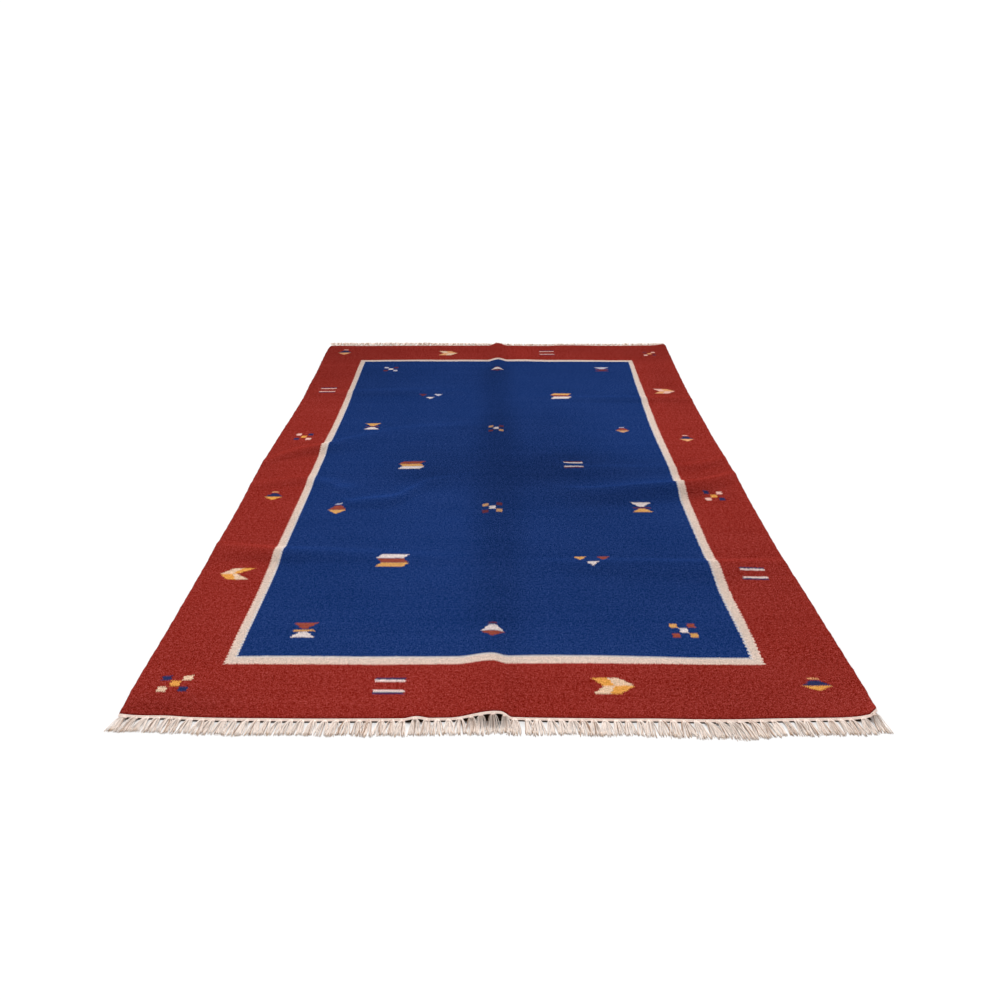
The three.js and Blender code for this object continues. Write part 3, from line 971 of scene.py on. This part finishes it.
def tubes(paths, radii, reference, flatness, map_columns):
    """Many tubes at once, each along its own path, closed at both ends, flattened across the reference.
    paths is tubes by steps by 3, radii tubes by steps. Their map has a cell for each tube."""
    sides = YARN_SIDES
    count, steps, _ = paths.shape
    tangents = np.gradient(paths, axis=1)
    tangents /= np.linalg.norm(tangents, axis=-1, keepdims=True)
    side = np.cross(tangents, reference)
    side /= np.linalg.norm(side, axis=-1, keepdims=True)
    up = np.cross(side, tangents)
    angle = 2 * np.pi * np.arange(sides) / sides
    flat = flatness * np.cos(angle)[:, None]
    ring = flat * side[..., None, :] + np.sin(angle)[:, None] * up[..., None, :]
    rings = paths[:, :, None, :] + radii[:, :, None, None] * ring
    outward = YARN_END * np.array([-1, 1])[:, None]
    ends = paths[:, [0, -1]] + tangents[:, [0, -1]] * radii[:, [0, -1], None] * outward
    points = np.concatenate([rings.reshape(-1, 3), ends.reshape(-1, 3)])

    around = np.arange(sides)
    following = (around + 1) % sides
    start = (np.arange(count)[:, None] * steps + np.arange(steps - 1)) * sides
    a = start[..., None] + around
    b = start[..., None] + following
    quads = np.stack([a, b, b + sides, a + sides], axis=-1)
    first = np.arange(count)[:, None] * steps * sides
    last = first + (steps - 1) * sides
    low_end = count * steps * sides + 2 * np.arange(count)[:, None] + 0 * around
    caps_low = np.stack([first + following, first + around, low_end], axis=-1)
    caps_high = np.stack([last + around, last + following, low_end + 1], axis=-1)
    faces = quads.reshape(-1, 4).tolist()
    faces += caps_low.reshape(-1, 3).tolist()
    faces += caps_high.reshape(-1, 3).tolist()

    # The map: along each tube is across its cell, and round it is up its cell
    map_rows = -(-count // map_columns)
    cell_u = np.arange(count) % map_columns
    cell_v = np.arange(count) // map_columns
    scale = 1 - 2 * MAP_INSET

    def mapped(tube, along, turned):
        u = (cell_u[tube] + MAP_INSET + scale * along) / map_columns
        v = (cell_v[tube] + MAP_INSET + scale * turned) / map_rows
        return np.stack(np.broadcast_arrays(u, v), axis=-1)

    def corners(tube, *places):
        return np.stack([mapped(tube, *place) for place in places], axis=-2).reshape(-1, 2)

    tube = np.arange(count)[:, None]
    step = (1 - 2 * MAP_END) / (steps - 1)
    share = MAP_END + step * np.arange(steps - 1)[:, None]
    next_share = share + step
    turned = around / sides
    turned_on = turned + 1 / sides
    middle = (turned + turned_on) / 2
    low = MAP_END
    high = 1 - MAP_END
    quad = (share, turned), (share, turned_on), (next_share, turned_on), (next_share, turned)
    places = np.concatenate([
        corners(tube[..., None], *quad),
        corners(tube, (low, turned_on), (low, turned), (0, middle)),
        corners(tube, (high, turned), (high, turned_on), (1, middle)),
    ])
    return points, faces, places


def uneven(index, kind):
    """A repeatable uneven number from -1 to 1 for one tassel."""
    mixed = index * index * SCRAMBLE["square"] + index * SCRAMBLE["step"] + kind * SCRAMBLE["kind"]
    return 2 * (mixed % SCRAMBLE["span"]) / SCRAMBLE["span"] - 1


def end_corners(end):
    """Where the cloth's end edge starts and stops across the rug."""
    row = np.array(end["row"], float)
    left, _ = place_in_outline(-CLOTH_HALF_WIDTH, row)
    right, _ = place_in_outline(CLOTH_HALF_WIDTH, row)
    return float(left), float(right)


def tassel_plan(end):
    """For each tassel: where its root and its tip lie across the rug, its half width and its length."""
    left, right = end_corners(end)
    left += TASSEL_MARGINS[0]
    right -= TASSEL_MARGINS[1]
    pitch = (right - left) / TASSEL_COUNT
    plan = []
    for i in range(TASSEL_COUNT):
        place, width, stray, reach = (uneven(i, end["kind"] + k) for k in range(4))
        root = left + (i + 0.5) * pitch + place * PLACE_SPREAD
        half = (read(end["tassels"], "x", "width", root) + width * WIDTH_SPREAD) / 2
        tip = root + read(end["tassels"], "x", "lean", root) + stray * LEAN_SPREAD
        length = read(end["tassels"], "x", "length", root) + reach * LENGTH_SPREAD
        plan.append((root, tip, half, length))
    return np.array(plan)


def band_line(end, x, outside):
    """A line along the end band, a given distance outside the cloth's edge, at the cloth's underside."""
    edge = read(ENDS, "x", end["name"], x)
    return np.stack([x, edge + end["outward"] * outside, stand_off(x, edge)], axis=-1)


def band_cords(end):
    """The end band: rows of two-yarn cord, twisted by turns one way and the other."""
    left, right = end_corners(end)
    steps = int((right - left) / CORD_TURN * CORD_STEPS)
    x = np.linspace(left + BAND_INSET, right - BAND_INSET, steps)
    pitch = BAND_WIDTH / CORD_ROWS
    paths = []
    for row in range(CORD_ROWS):
        line = band_line(end, x, BAND_GAP + (row + 0.5) * pitch)
        line[:, 2] += CORD_LIFT + CORD_CLIMB * (CORD_ROWS - row)
        hand = 1 if row % 2 else -1
        for yarn in range(2):
            turn = hand * 2 * np.pi * (x - left) / CORD_TURN + yarn * np.pi
            twist = np.stack([np.zeros(steps), np.cos(turn), CORD_FLATNESS * np.sin(turn)], axis=-1)
            paths.append(line + CORD_SPREAD * twist)
    paths = np.array(paths)
    radii = np.full(paths.shape[:2], CORD_YARN_RADIUS)
    return paths, radii


def warp_ends(end, chance):
    """The strands of all tassels: they leave the knot close together and fan out on the floor."""
    plan = tassel_plan(end)
    root, tip, half, length = (column[:, None, None] for column in plan.T)
    place = band_line(end, root, BAND_GAP + BAND_WIDTH)
    base = place[..., 2]
    shape = (TASSEL_COUNT, WARPS_IN_TASSEL, 1)
    spread = (2 * (np.arange(WARPS_IN_TASSEL) + 0.5) / WARPS_IN_TASSEL - 1)[None, :, None]
    t = np.linspace(0, 1, WARP_STEPS)[None, None, :]
    from_x = root + (KNOT_HALF_WIDTH - WARP_RADIUS) * spread
    to_x = tip + (half - TIP_INSET) * spread + chance.uniform(-WARP_CROSSING, WARP_CROSSING, shape)
    reach = length * chance.uniform(*WARP_REACHES, shape)
    bend = np.sin(2 * np.pi * (t * WARP_WAVES + chance.uniform(0, 1, shape)))
    wave = chance.uniform(-WARP_WAVE, WARP_WAVE, shape) * bend
    x = from_x + (to_x - from_x) * t**FAN_OPENING + wave * t
    y = place[..., 1] + end["outward"] * ((reach + WARP_TUCK) * t - WARP_TUCK)
    layer = chance.uniform(0, 1, shape)
    fall = np.clip(1 - t / FALL_SHARE, 0, 1)
    hanging = base * fall**FALL_POWER
    heap = (HEAP_LEAST + HEAP_SPREAD * layer) * (1 - t) ** HEAP_POWER
    arch = HEAP_ARCH * layer * np.sin(np.pi * t)
    z = WARP_RADIUS + hanging + (heap + arch)
    paths = np.stack(np.broadcast_arrays(x, y, z), axis=-1).reshape(-1, WARP_STEPS, 3)
    profile = np.interp(t.ravel(), WARP_PROFILE["along"], WARP_PROFILE["thickness"])
    radii = WARP_RADIUS * chance.uniform(*WARP_RADII, (len(paths), 1)) * profile[None, :]
    return paths, radii


def knots(end):
    """A flat wound knot at the root of each tassel."""
    root = tassel_plan(end)[:, 0][:, None]
    place = band_line(end, root, BAND_GAP + BAND_WIDTH)
    t = np.linspace(0, 1, KNOT_STEPS)[None, :]
    turn = 2 * np.pi * KNOT_TURNS * t
    x = root + KNOT_HALF_WIDTH * np.cos(turn)
    y = place[..., 1] + end["outward"] * (KNOT_START + KNOT_LENGTH * t)
    middle = KNOT_HALF_HEIGHT + KNOT_YARN_RADIUS + KNOT_CLEARANCE
    z = place[..., 2] + middle + KNOT_HALF_HEIGHT * np.sin(turn)
    paths = np.stack([x, y, z], axis=-1)
    return paths, np.full(paths.shape[:2], KNOT_YARN_RADIUS)


def finish_yarns(piece, places, count, steps, tones, chance):
    """The map of a piece made of tubes, and how light each yarn is and how far along it a point lies."""
    layer = piece.data.uv_layers.new(name="OFBake")
    layer.data.foreach_set("uv", places.astype(np.float32).ravel())
    tone = chance.uniform(*tones, count)
    along = np.linspace(0, 1, steps)
    ring_tone = np.repeat(tone, steps * YARN_SIDES)
    ring_along = np.tile(np.repeat(along, YARN_SIDES), count)
    end_tone = np.repeat(tone, 2)
    end_along = np.tile([0, 1], count)
    add_attribute(piece.data, "tone", "FLOAT", "POINT", np.concatenate([ring_tone, end_tone]))
    add_attribute(piece.data, "along", "FLOAT", "POINT", np.concatenate([ring_along, end_along]))


def make_yarns(end, kind, yarns, shape, tones, material, chance):
    """One piece of yarns. shape is the reference, the flatness and the map's columns of its tubes."""
    paths, radii = yarns
    points, faces, places = tubes(paths, radii, *shape)
    node = f"fringe_{end['name']}"
    piece = new_piece(f"{node}_{kind}", points, faces, material, "warp_cotton", node)
    finish_yarns(piece, places, len(paths), paths.shape[1], tones, chance)
    return piece


def make_fringe(end, material):
    """The pieces of one end's fringe: the band, the knots and the tassels."""
    chance = np.random.default_rng(end["kind"])
    along = np.array([0.0, 1.0, 0.0])
    upwards = np.array([0.0, 0.0, 1.0])
    cord_shape = (along, CORD_FLATNESS, CORD_MAP_COLUMNS)
    knot_shape = (along, 1, KNOT_MAP_COLUMNS)
    warp_shape = (upwards, 1, WARP_MAP_COLUMNS)
    cords = make_yarns(end, "band", band_cords(end), cord_shape, BAND_TONES, material, chance)
    tied = make_yarns(end, "knots", knots(end), knot_shape, BAND_TONES, material, chance)
    strands = warp_ends(end, chance)
    warps = make_yarns(end, "tassels", strands, warp_shape, end["tones"], material, chance)
    return [cords, tied, warps]


class Field:
    """A number that varies over a surface. Arithmetic on it adds the shader nodes that work it out."""

    def __init__(self, tree, socket):
        self.tree = tree
        self.socket = socket

    def math(self, operation, *values):
        node = self.tree.nodes.new("ShaderNodeMath")
        node.operation = operation
        for slot, value in zip(node.inputs, values):
            if isinstance(value, Field):
                self.tree.links.new(value.socket, slot)
            else:
                slot.default_value = value
        return Field(self.tree, node.outputs[0])

    def __add__(self, other):
        return self.math("ADD", self, other)

    def __sub__(self, other):
        return self.math("SUBTRACT", self, other)

    def __rsub__(self, other):
        return self.math("SUBTRACT", other, self)

    def __mul__(self, other):
        return self.math("MULTIPLY", self, other)

    def __truediv__(self, other):
        return self.math("DIVIDE", self, other)

    def floor(self):
        return self.math("FLOOR", self)

    def odd(self):
        """1 for odd whole numbers and 0 for even ones."""
        return self.math("FLOORED_MODULO", self, 2)

    def size(self):
        return self.math("ABSOLUTE", self)

    def wave(self, length):
        """A sine wave of a given length."""
        return self.math("SINE", self * (2 * math.pi / length))

    def above(self, other):
        return self.math("GREATER_THAN", self, other)

    def below(self, other):
        return self.math("LESS_THAN", self, other)

    def equals(self, number):
        """1 where this is a given whole number."""
        return self.math("COMPARE", self, number, WHOLE_WITHIN)

    def line(self, slope, start):
        """A straight line in this number."""
        return self.math("MULTIPLY_ADD", self, slope, start)

    def eased(self, low, high):
        """0 below low and 1 above high, with a soft step between."""
        node = self.tree.nodes.new("ShaderNodeMapRange")
        node.interpolation_type = "SMOOTHSTEP"
        self.tree.links.new(self.socket, node.inputs["Value"])
        node.inputs["From Min"].default_value = low
        node.inputs["From Max"].default_value = high
        return Field(self.tree, node.outputs["Result"])


def attribute(tree, name):
    """The three numbers of a vector that the mesh carries."""
    node = tree.nodes.new("ShaderNodeAttribute")
    node.attribute_name = name
    parts = tree.nodes.new("ShaderNodeSeparateXYZ")
    tree.links.new(node.outputs["Vector"], parts.inputs[0])
    return [Field(tree, socket) for socket in parts.outputs]


def value_attribute(tree, name):
    node = tree.nodes.new("ShaderNodeAttribute")
    node.attribute_name = name
    return Field(tree, node.outputs["Fac"])


def noise(x, y, length, height, detail=1.0, seed=0.0):
    """Soft noise from 0 to 1, in patches of a given length across the rug and height along it."""
    tree = x.tree
    place = tree.nodes.new("ShaderNodeCombineXYZ")
    tree.links.new((x / length + seed).socket, place.inputs[0])
    tree.links.new((y / height + seed).socket, place.inputs[1])
    node = tree.nodes.new("ShaderNodeTexNoise")
    node.noise_dimensions = "2D"
    node.inputs["Scale"].default_value = 1
    node.inputs["Detail"].default_value = detail
    node.inputs["Roughness"].default_value = NOISE_ROUGHNESS
    tree.links.new(place.outputs[0], node.inputs["Vector"])
    return Field(tree, node.outputs["Fac"])


def linear(colour):
    """A colour as it shows on a screen, 0 to 255, as the light that it stands for."""
    shares = np.array(colour) / 255
    light = np.where(shares <= 0.04045, shares / 12.92, ((shares + 0.055) / 1.055) ** 2.4)
    return (*light.tolist(), 1)


def mix_colours(tree, share, first, second, blend="MIX"):
    """first blended towards second by a share, which is a number or a Field."""
    node = tree.nodes.new("ShaderNodeMix")
    node.data_type = "RGBA"
    node.blend_type = blend
    share_slot, first_slot, second_slot = node.inputs[0], node.inputs[6], node.inputs[7]
    for slot, value in ((share_slot, share), (first_slot, first), (second_slot, second)):
        if isinstance(value, Field):
            tree.links.new(value.socket, slot)
        elif isinstance(value, bpy.types.NodeSocket):
            tree.links.new(value, slot)
        else:
            slot.default_value = value
    return node.outputs[2]


def new_material(name, roughness):
    material = bpy.data.materials.new(name)
    material.use_nodes = True
    tree = material.node_tree
    shader = next(node for node in tree.nodes if node.type == "BSDF_PRINCIPLED")
    shader.inputs["Roughness"].default_value = roughness
    shader.inputs["Specular IOR Level"].default_value = 0.0
    return material, tree, shader


def add_bump(tree, shader, height, depth):
    """height is a Field from 0 to 1, and depth how far 1 stands above 0, in metres."""
    bump = tree.nodes.new("ShaderNodeBump")
    bump.inputs["Distance"].default_value = depth
    tree.links.new(height.socket, bump.inputs["Height"])
    tree.links.new(bump.outputs[0], shader.inputs["Normal"])


def inside_box(x, y, box):
    left, right, near, far = box
    return x.above(left) * x.below(right) * y.above(near) * y.below(far)


def band_box(inside):
    """The box whose sides run a given distance inside the cream band's outer lines."""
    return (
        BAND["outer_left"] + inside,
        BAND["outer_right"] - inside,
        BAND_ENDS["outer_near"] + inside,
        BAND_ENDS["outer_far"] - inside,
    )


def thread_number(name):
    return list(THREADS).index(name)


def ground_thread(x, y):
    """The thread of the plain weaving: blue in the field, then the band's three creams, and red outside."""
    left, right = BAND["inner_left"], BAND["inner_right"]
    near, far = BAND_ENDS["inner_near"], BAND_ENDS["inner_far"]
    field = (left, right, near, far)
    milk = (left - MILK_WIDTH, right + MILK_WIDTH, near - MILK_WIDTH, far + MILK_WIDTH)
    boxes = (field, milk, band_box(BLUSH_WIDTH), band_box(0))
    thread = thread_number("red") - inside_box(x, y, boxes[0])
    for box in boxes[1:]:
        thread = thread - inside_box(x, y, box)
    return thread


def block_cover(u, v, block):
    """1 inside one block of a chart and 0 outside it."""
    low, high, left_low, left_high, right_low, right_high, _ = block
    left_slope = (left_high - left_low) / (high - low)
    right_slope = (right_high - right_low) / (high - low)
    left = v.line(left_slope, left_low - left_slope * low) if left_slope else left_low
    right = v.line(right_slope, right_low - right_slope * low) if right_slope else right_low
    return v.above(low) * v.below(high) * u.above(left) * u.below(right)


def ornament_thread(tree, x, y, ground):
    """The thread of the ornament at each place, or the ground's where the ornaments leave it bare."""
    place_x, place_y, kind = attribute(tree, "ornament_place")
    width, height, _ = attribute(tree, "ornament_size")
    threads = attribute(tree, "ornament_threads")
    u = (x - place_x) / width + 0.5
    v = (y - place_y) / height + 0.5
    thread = ground
    for number, blocks in enumerate(CHARTS.values()):
        chosen = kind.equals(number)
        for block in blocks:
            cover = block_cover(u, v, block) * chosen
            thread = thread + cover * (threads[block[-1]] - ground)
    return thread


def dyed_colour(tree, thread):
    """The dyed colour of a thread, by its number."""
    ramp = tree.nodes.new("ShaderNodeValToRGB")
    ramp.color_ramp.interpolation = "CONSTANT"
    elements = ramp.color_ramp.elements
    count = len(THREADS)
    while len(elements) < count:
        elements.new(1)
    for k, colour in enumerate(THREADS.values()):
        elements[k].position = k / count
        elements[k].color = linear(colour)
    tree.links.new(((thread + 0.5) / count).socket, ramp.inputs[0])
    return ramp.outputs[0]


def wool_material():
    """Weft-faced wool: the woven pattern, heathered yarn, painted shade and highlights, and the ribs and
    beads of the weave.
    """
    material, tree, shader = new_material("kilim_wool", WOOL_ROUGHNESS)
    x, y, _ = attribute(tree, "woven")

    # The loom's grid: neighbouring warps show their picks half a step apart
    warp = (x / WARP_PITCH).floor()
    odd_warp = warp.odd()
    pick = (y / PICK_PITCH + odd_warp * 0.5).floor()
    snapped_x = (warp + 0.5) * WARP_PITCH
    snapped_y = (pick + 0.5 - odd_warp * 0.5) * PICK_PITCH

    # Hand weaving: the edges of each colour wander, toothed by single warps and by sets of picks
    stray_x = (noise(snapped_x, snapped_y, *NOISES["stray_across"]) - 0.5) * EDGE_WANDER
    stray_y = (noise(snapped_x, snapped_y, *NOISES["stray_along"]) - 0.5) * EDGE_WANDER
    toothed_x = snapped_x + stray_x + ((pick / PICKS_IN_TOOTH).floor().odd() - 0.5) * TOOTH_ACROSS
    toothed_y = snapped_y + stray_y + (odd_warp - 0.5) * TOOTH_ALONG
    ground = ground_thread(toothed_x, toothed_y)
    thread = ornament_thread(tree, toothed_x, toothed_y, ground)
    colour = dyed_colour(tree, thread)

    # Uneven dye and spinning, from broad patches to single flecks; the lighter wool is the greyer
    noises = {name: noise(x, y, *NOISES[name]) for name in LIGHTNESS}
    parts = [noises[name] * amount for name, amount in LIGHTNESS.items()]
    mean = sum(LIGHTNESS.values()) / 2
    dark = thread.equals(thread_number("blue")) + thread.equals(thread_number("red"))
    share = dark.line(1 - PALE_SHARE, PALE_SHARE)
    light = (sum(parts[1:], parts[0]) - mean) * share + 1
    shaded = tree.nodes.new("ShaderNodeHueSaturation")
    tree.links.new(colour, shaded.inputs["Color"])
    # Painted shade and highlights from the mesh, and painted shade towards the far end, take away from the
    # wool's lightness
    painted_shade = value_attribute(tree, "painted_shade") + y.eased(*FAR_PAINTED_SHADE_FROM) * FAR_PAINTED_SHADE
    tree.links.new((light - painted_shade).socket, shaded.inputs["Value"])
    tree.links.new(light.line(-GREYING, 1 + GREYING).socket, shaded.inputs["Saturation"])
    tree.links.new(shaded.outputs[0], shader.inputs["Base Color"])

    ribs = x.wave(2 * WARP_PITCH).size()
    beads = (y + odd_warp * (PICK_PITCH / 2)).wave(2 * PICK_PITCH).size()
    relief = ribs * RIB_RELIEF + ribs * beads * BEAD_RELIEF + noises["flecks"] * FLECK_RELIEF
    add_bump(tree, shader, relief, WEAVE_DEPTH)
    return material


def cotton_material():
    """Undyed cotton yarn, lighter and darker from yarn to yarn, with soiled tips."""
    material, tree, shader = new_material("warp_cotton", COTTON_ROUGHNESS)
    tone = value_attribute(tree, "tone")
    along = value_attribute(tree, "along")
    plain = mix_colours(tree, tone.above(BAND_TONE_FROM), linear(COTTON), linear(COTTON_BAND))
    yarn = mix_colours(tree, (1 - tone).eased(*DARKENING), plain, linear(COTTON_DARK))
    soiled = along.eased(*SOILED_ALONG) * tone.eased(*SOILED_FROM) * tone.below(SOILED_BELOW) * SOILING
    tipped = mix_colours(tree, soiled, yarn, linear(COTTON_TIP))
    coordinates = tree.nodes.new("ShaderNodeTexCoord")
    grain = tree.nodes.new("ShaderNodeTexNoise")
    grain.inputs["Scale"].default_value = FUZZ_SCALE
    grain.inputs["Detail"].default_value = FUZZ_DETAIL
    tree.links.new(coordinates.outputs["Object"], grain.inputs["Vector"])
    fuzz = Field(tree, grain.outputs["Fac"])
    darker = fuzz.eased(*FUZZ_RANGE) * FUZZ_DARKENING
    varied = mix_colours(tree, darker, tipped, linear(COTTON_DARK))
    tree.links.new(varied, shader.inputs["Base Color"])
    add_bump(tree, shader, fuzz, FUZZ_DEPTH)
    return material


def make_floor():
    corners = np.array([(-1, -1, 0), (1, -1, 0), (1, 1, 0), (-1, 1, 0)]) * FLOOR_HALF
    material, _, shader = new_material("floor_white", FLOOR_ROUGHNESS)
    shader.inputs["Base Color"].default_value = FLOOR_COLOUR
    floor = add_mesh("floor", corners - np.array([0, 0, FLOOR_DROP * MM]), [(0, 1, 2, 3)], material)


def make_painted_floor_shadow():
    """A painted shadow on a sheet over the floor under the ends of the rug, which shows in the gaps of the
    fringes.
    """
    x = np.linspace(PAINTED_SHADOW_LEFT, PAINTED_SHADOW_RIGHT, PAINTED_SHADOW_STRIPS + 1)
    rows = []
    for end in (NEAR_END, FAR_END):
        for outside in PAINTED_FLOOR_SHADOWS["outside"]:
            y = read(ENDS, "x", end["name"], x) + end["outward"] * outside
            rows.append(np.stack([x, y, np.full(len(x), -PAINTED_SHADOW_DROP)], axis=-1))
    steps = len(PAINTED_FLOOR_SHADOWS["outside"])
    count = len(x)
    faces = []
    for row in range(2 * steps):
        if row % steps != steps - 1:
            start = row * count
            faces += [(k, k + 1, k + count + 1, k + count) for k in range(start, start + PAINTED_SHADOW_STRIPS)]
    # The sheet's colour runs from the painted shadow's dark to the floor's own colour
    material, tree, shader = new_material("painted_floor_shadow", 1)
    shaded = mix_colours(tree, value_attribute(tree, "light"), PAINTED_SHADOW_COLOUR, FLOOR_COLOUR)
    tree.links.new(shaded, shader.inputs["Base Color"])
    painted_shade = add_mesh("painted_shade", to_part(np.concatenate(rows)), faces, material)
    light = np.repeat(np.tile(PAINTED_FLOOR_SHADOWS["light"], 2), count)
    add_attribute(painted_shade.data, "light", "FLOAT", "POINT", light)


def make_lamp():
    lamp = bpy.data.lights.new("lamp", "SUN")
    lamp.energy = LAMP_STRENGTH
    lamp.angle = math.radians(LAMP_WIDTH)
    holder = add_object("lamp", lamp)
    holder.rotation_euler = (math.radians(LAMP_HEIGHT - 90), 0, 0)


def make_room():
    """The room's light: bright low down, where the camera sees it, and dimmer above."""
    world = bpy.data.worlds.new("room")
    bpy.context.scene.world = world
    world.use_nodes = True
    tree = world.node_tree
    background = next(node for node in tree.nodes if node.type == "BACKGROUND")
    coordinates = tree.nodes.new("ShaderNodeTexCoord")
    parts = tree.nodes.new("ShaderNodeSeparateXYZ")
    tree.links.new(coordinates.outputs["Generated"], parts.inputs[0])
    height = Field(tree, parts.outputs["Z"])
    above = Field(tree, parts.outputs["Y"]) * ROOM_TILT + ROOM_HIGH
    strength = height.eased(ROOM_LOW_TOP, ROOM_HIGH_START) * (above - ROOM_LOW) + ROOM_LOW
    tree.links.new(strength.socket, background.inputs["Strength"])
    background.inputs["Color"].default_value = (1, 1, 1, 1)


def make_camera():
    camera = bpy.data.cameras.new("camera")
    camera.lens = CAMERA_LENS
    holder = add_object("camera", camera)
    holder.location = CAMERA_PLACE
    holder.rotation_euler = (math.radians(90 - CAMERA_DOWN), 0, math.radians(-CAMERA_TURN))
    bpy.context.scene.camera = holder


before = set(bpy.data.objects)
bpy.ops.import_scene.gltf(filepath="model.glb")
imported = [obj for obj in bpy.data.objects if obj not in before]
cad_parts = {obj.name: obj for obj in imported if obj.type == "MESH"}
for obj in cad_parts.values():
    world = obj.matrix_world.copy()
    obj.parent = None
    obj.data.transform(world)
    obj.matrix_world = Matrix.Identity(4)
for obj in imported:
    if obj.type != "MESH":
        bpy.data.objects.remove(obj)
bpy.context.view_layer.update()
make_camera()
bpy.context.scene.view_settings.view_transform = "Standard"
make_room()
make_lamp()
make_floor()
make_painted_floor_shadow()
cotton = cotton_material()
cloth = make_cloth(wool_material())
fringes = make_fringe(NEAR_END, cotton) + make_fringe(FAR_END, cotton)
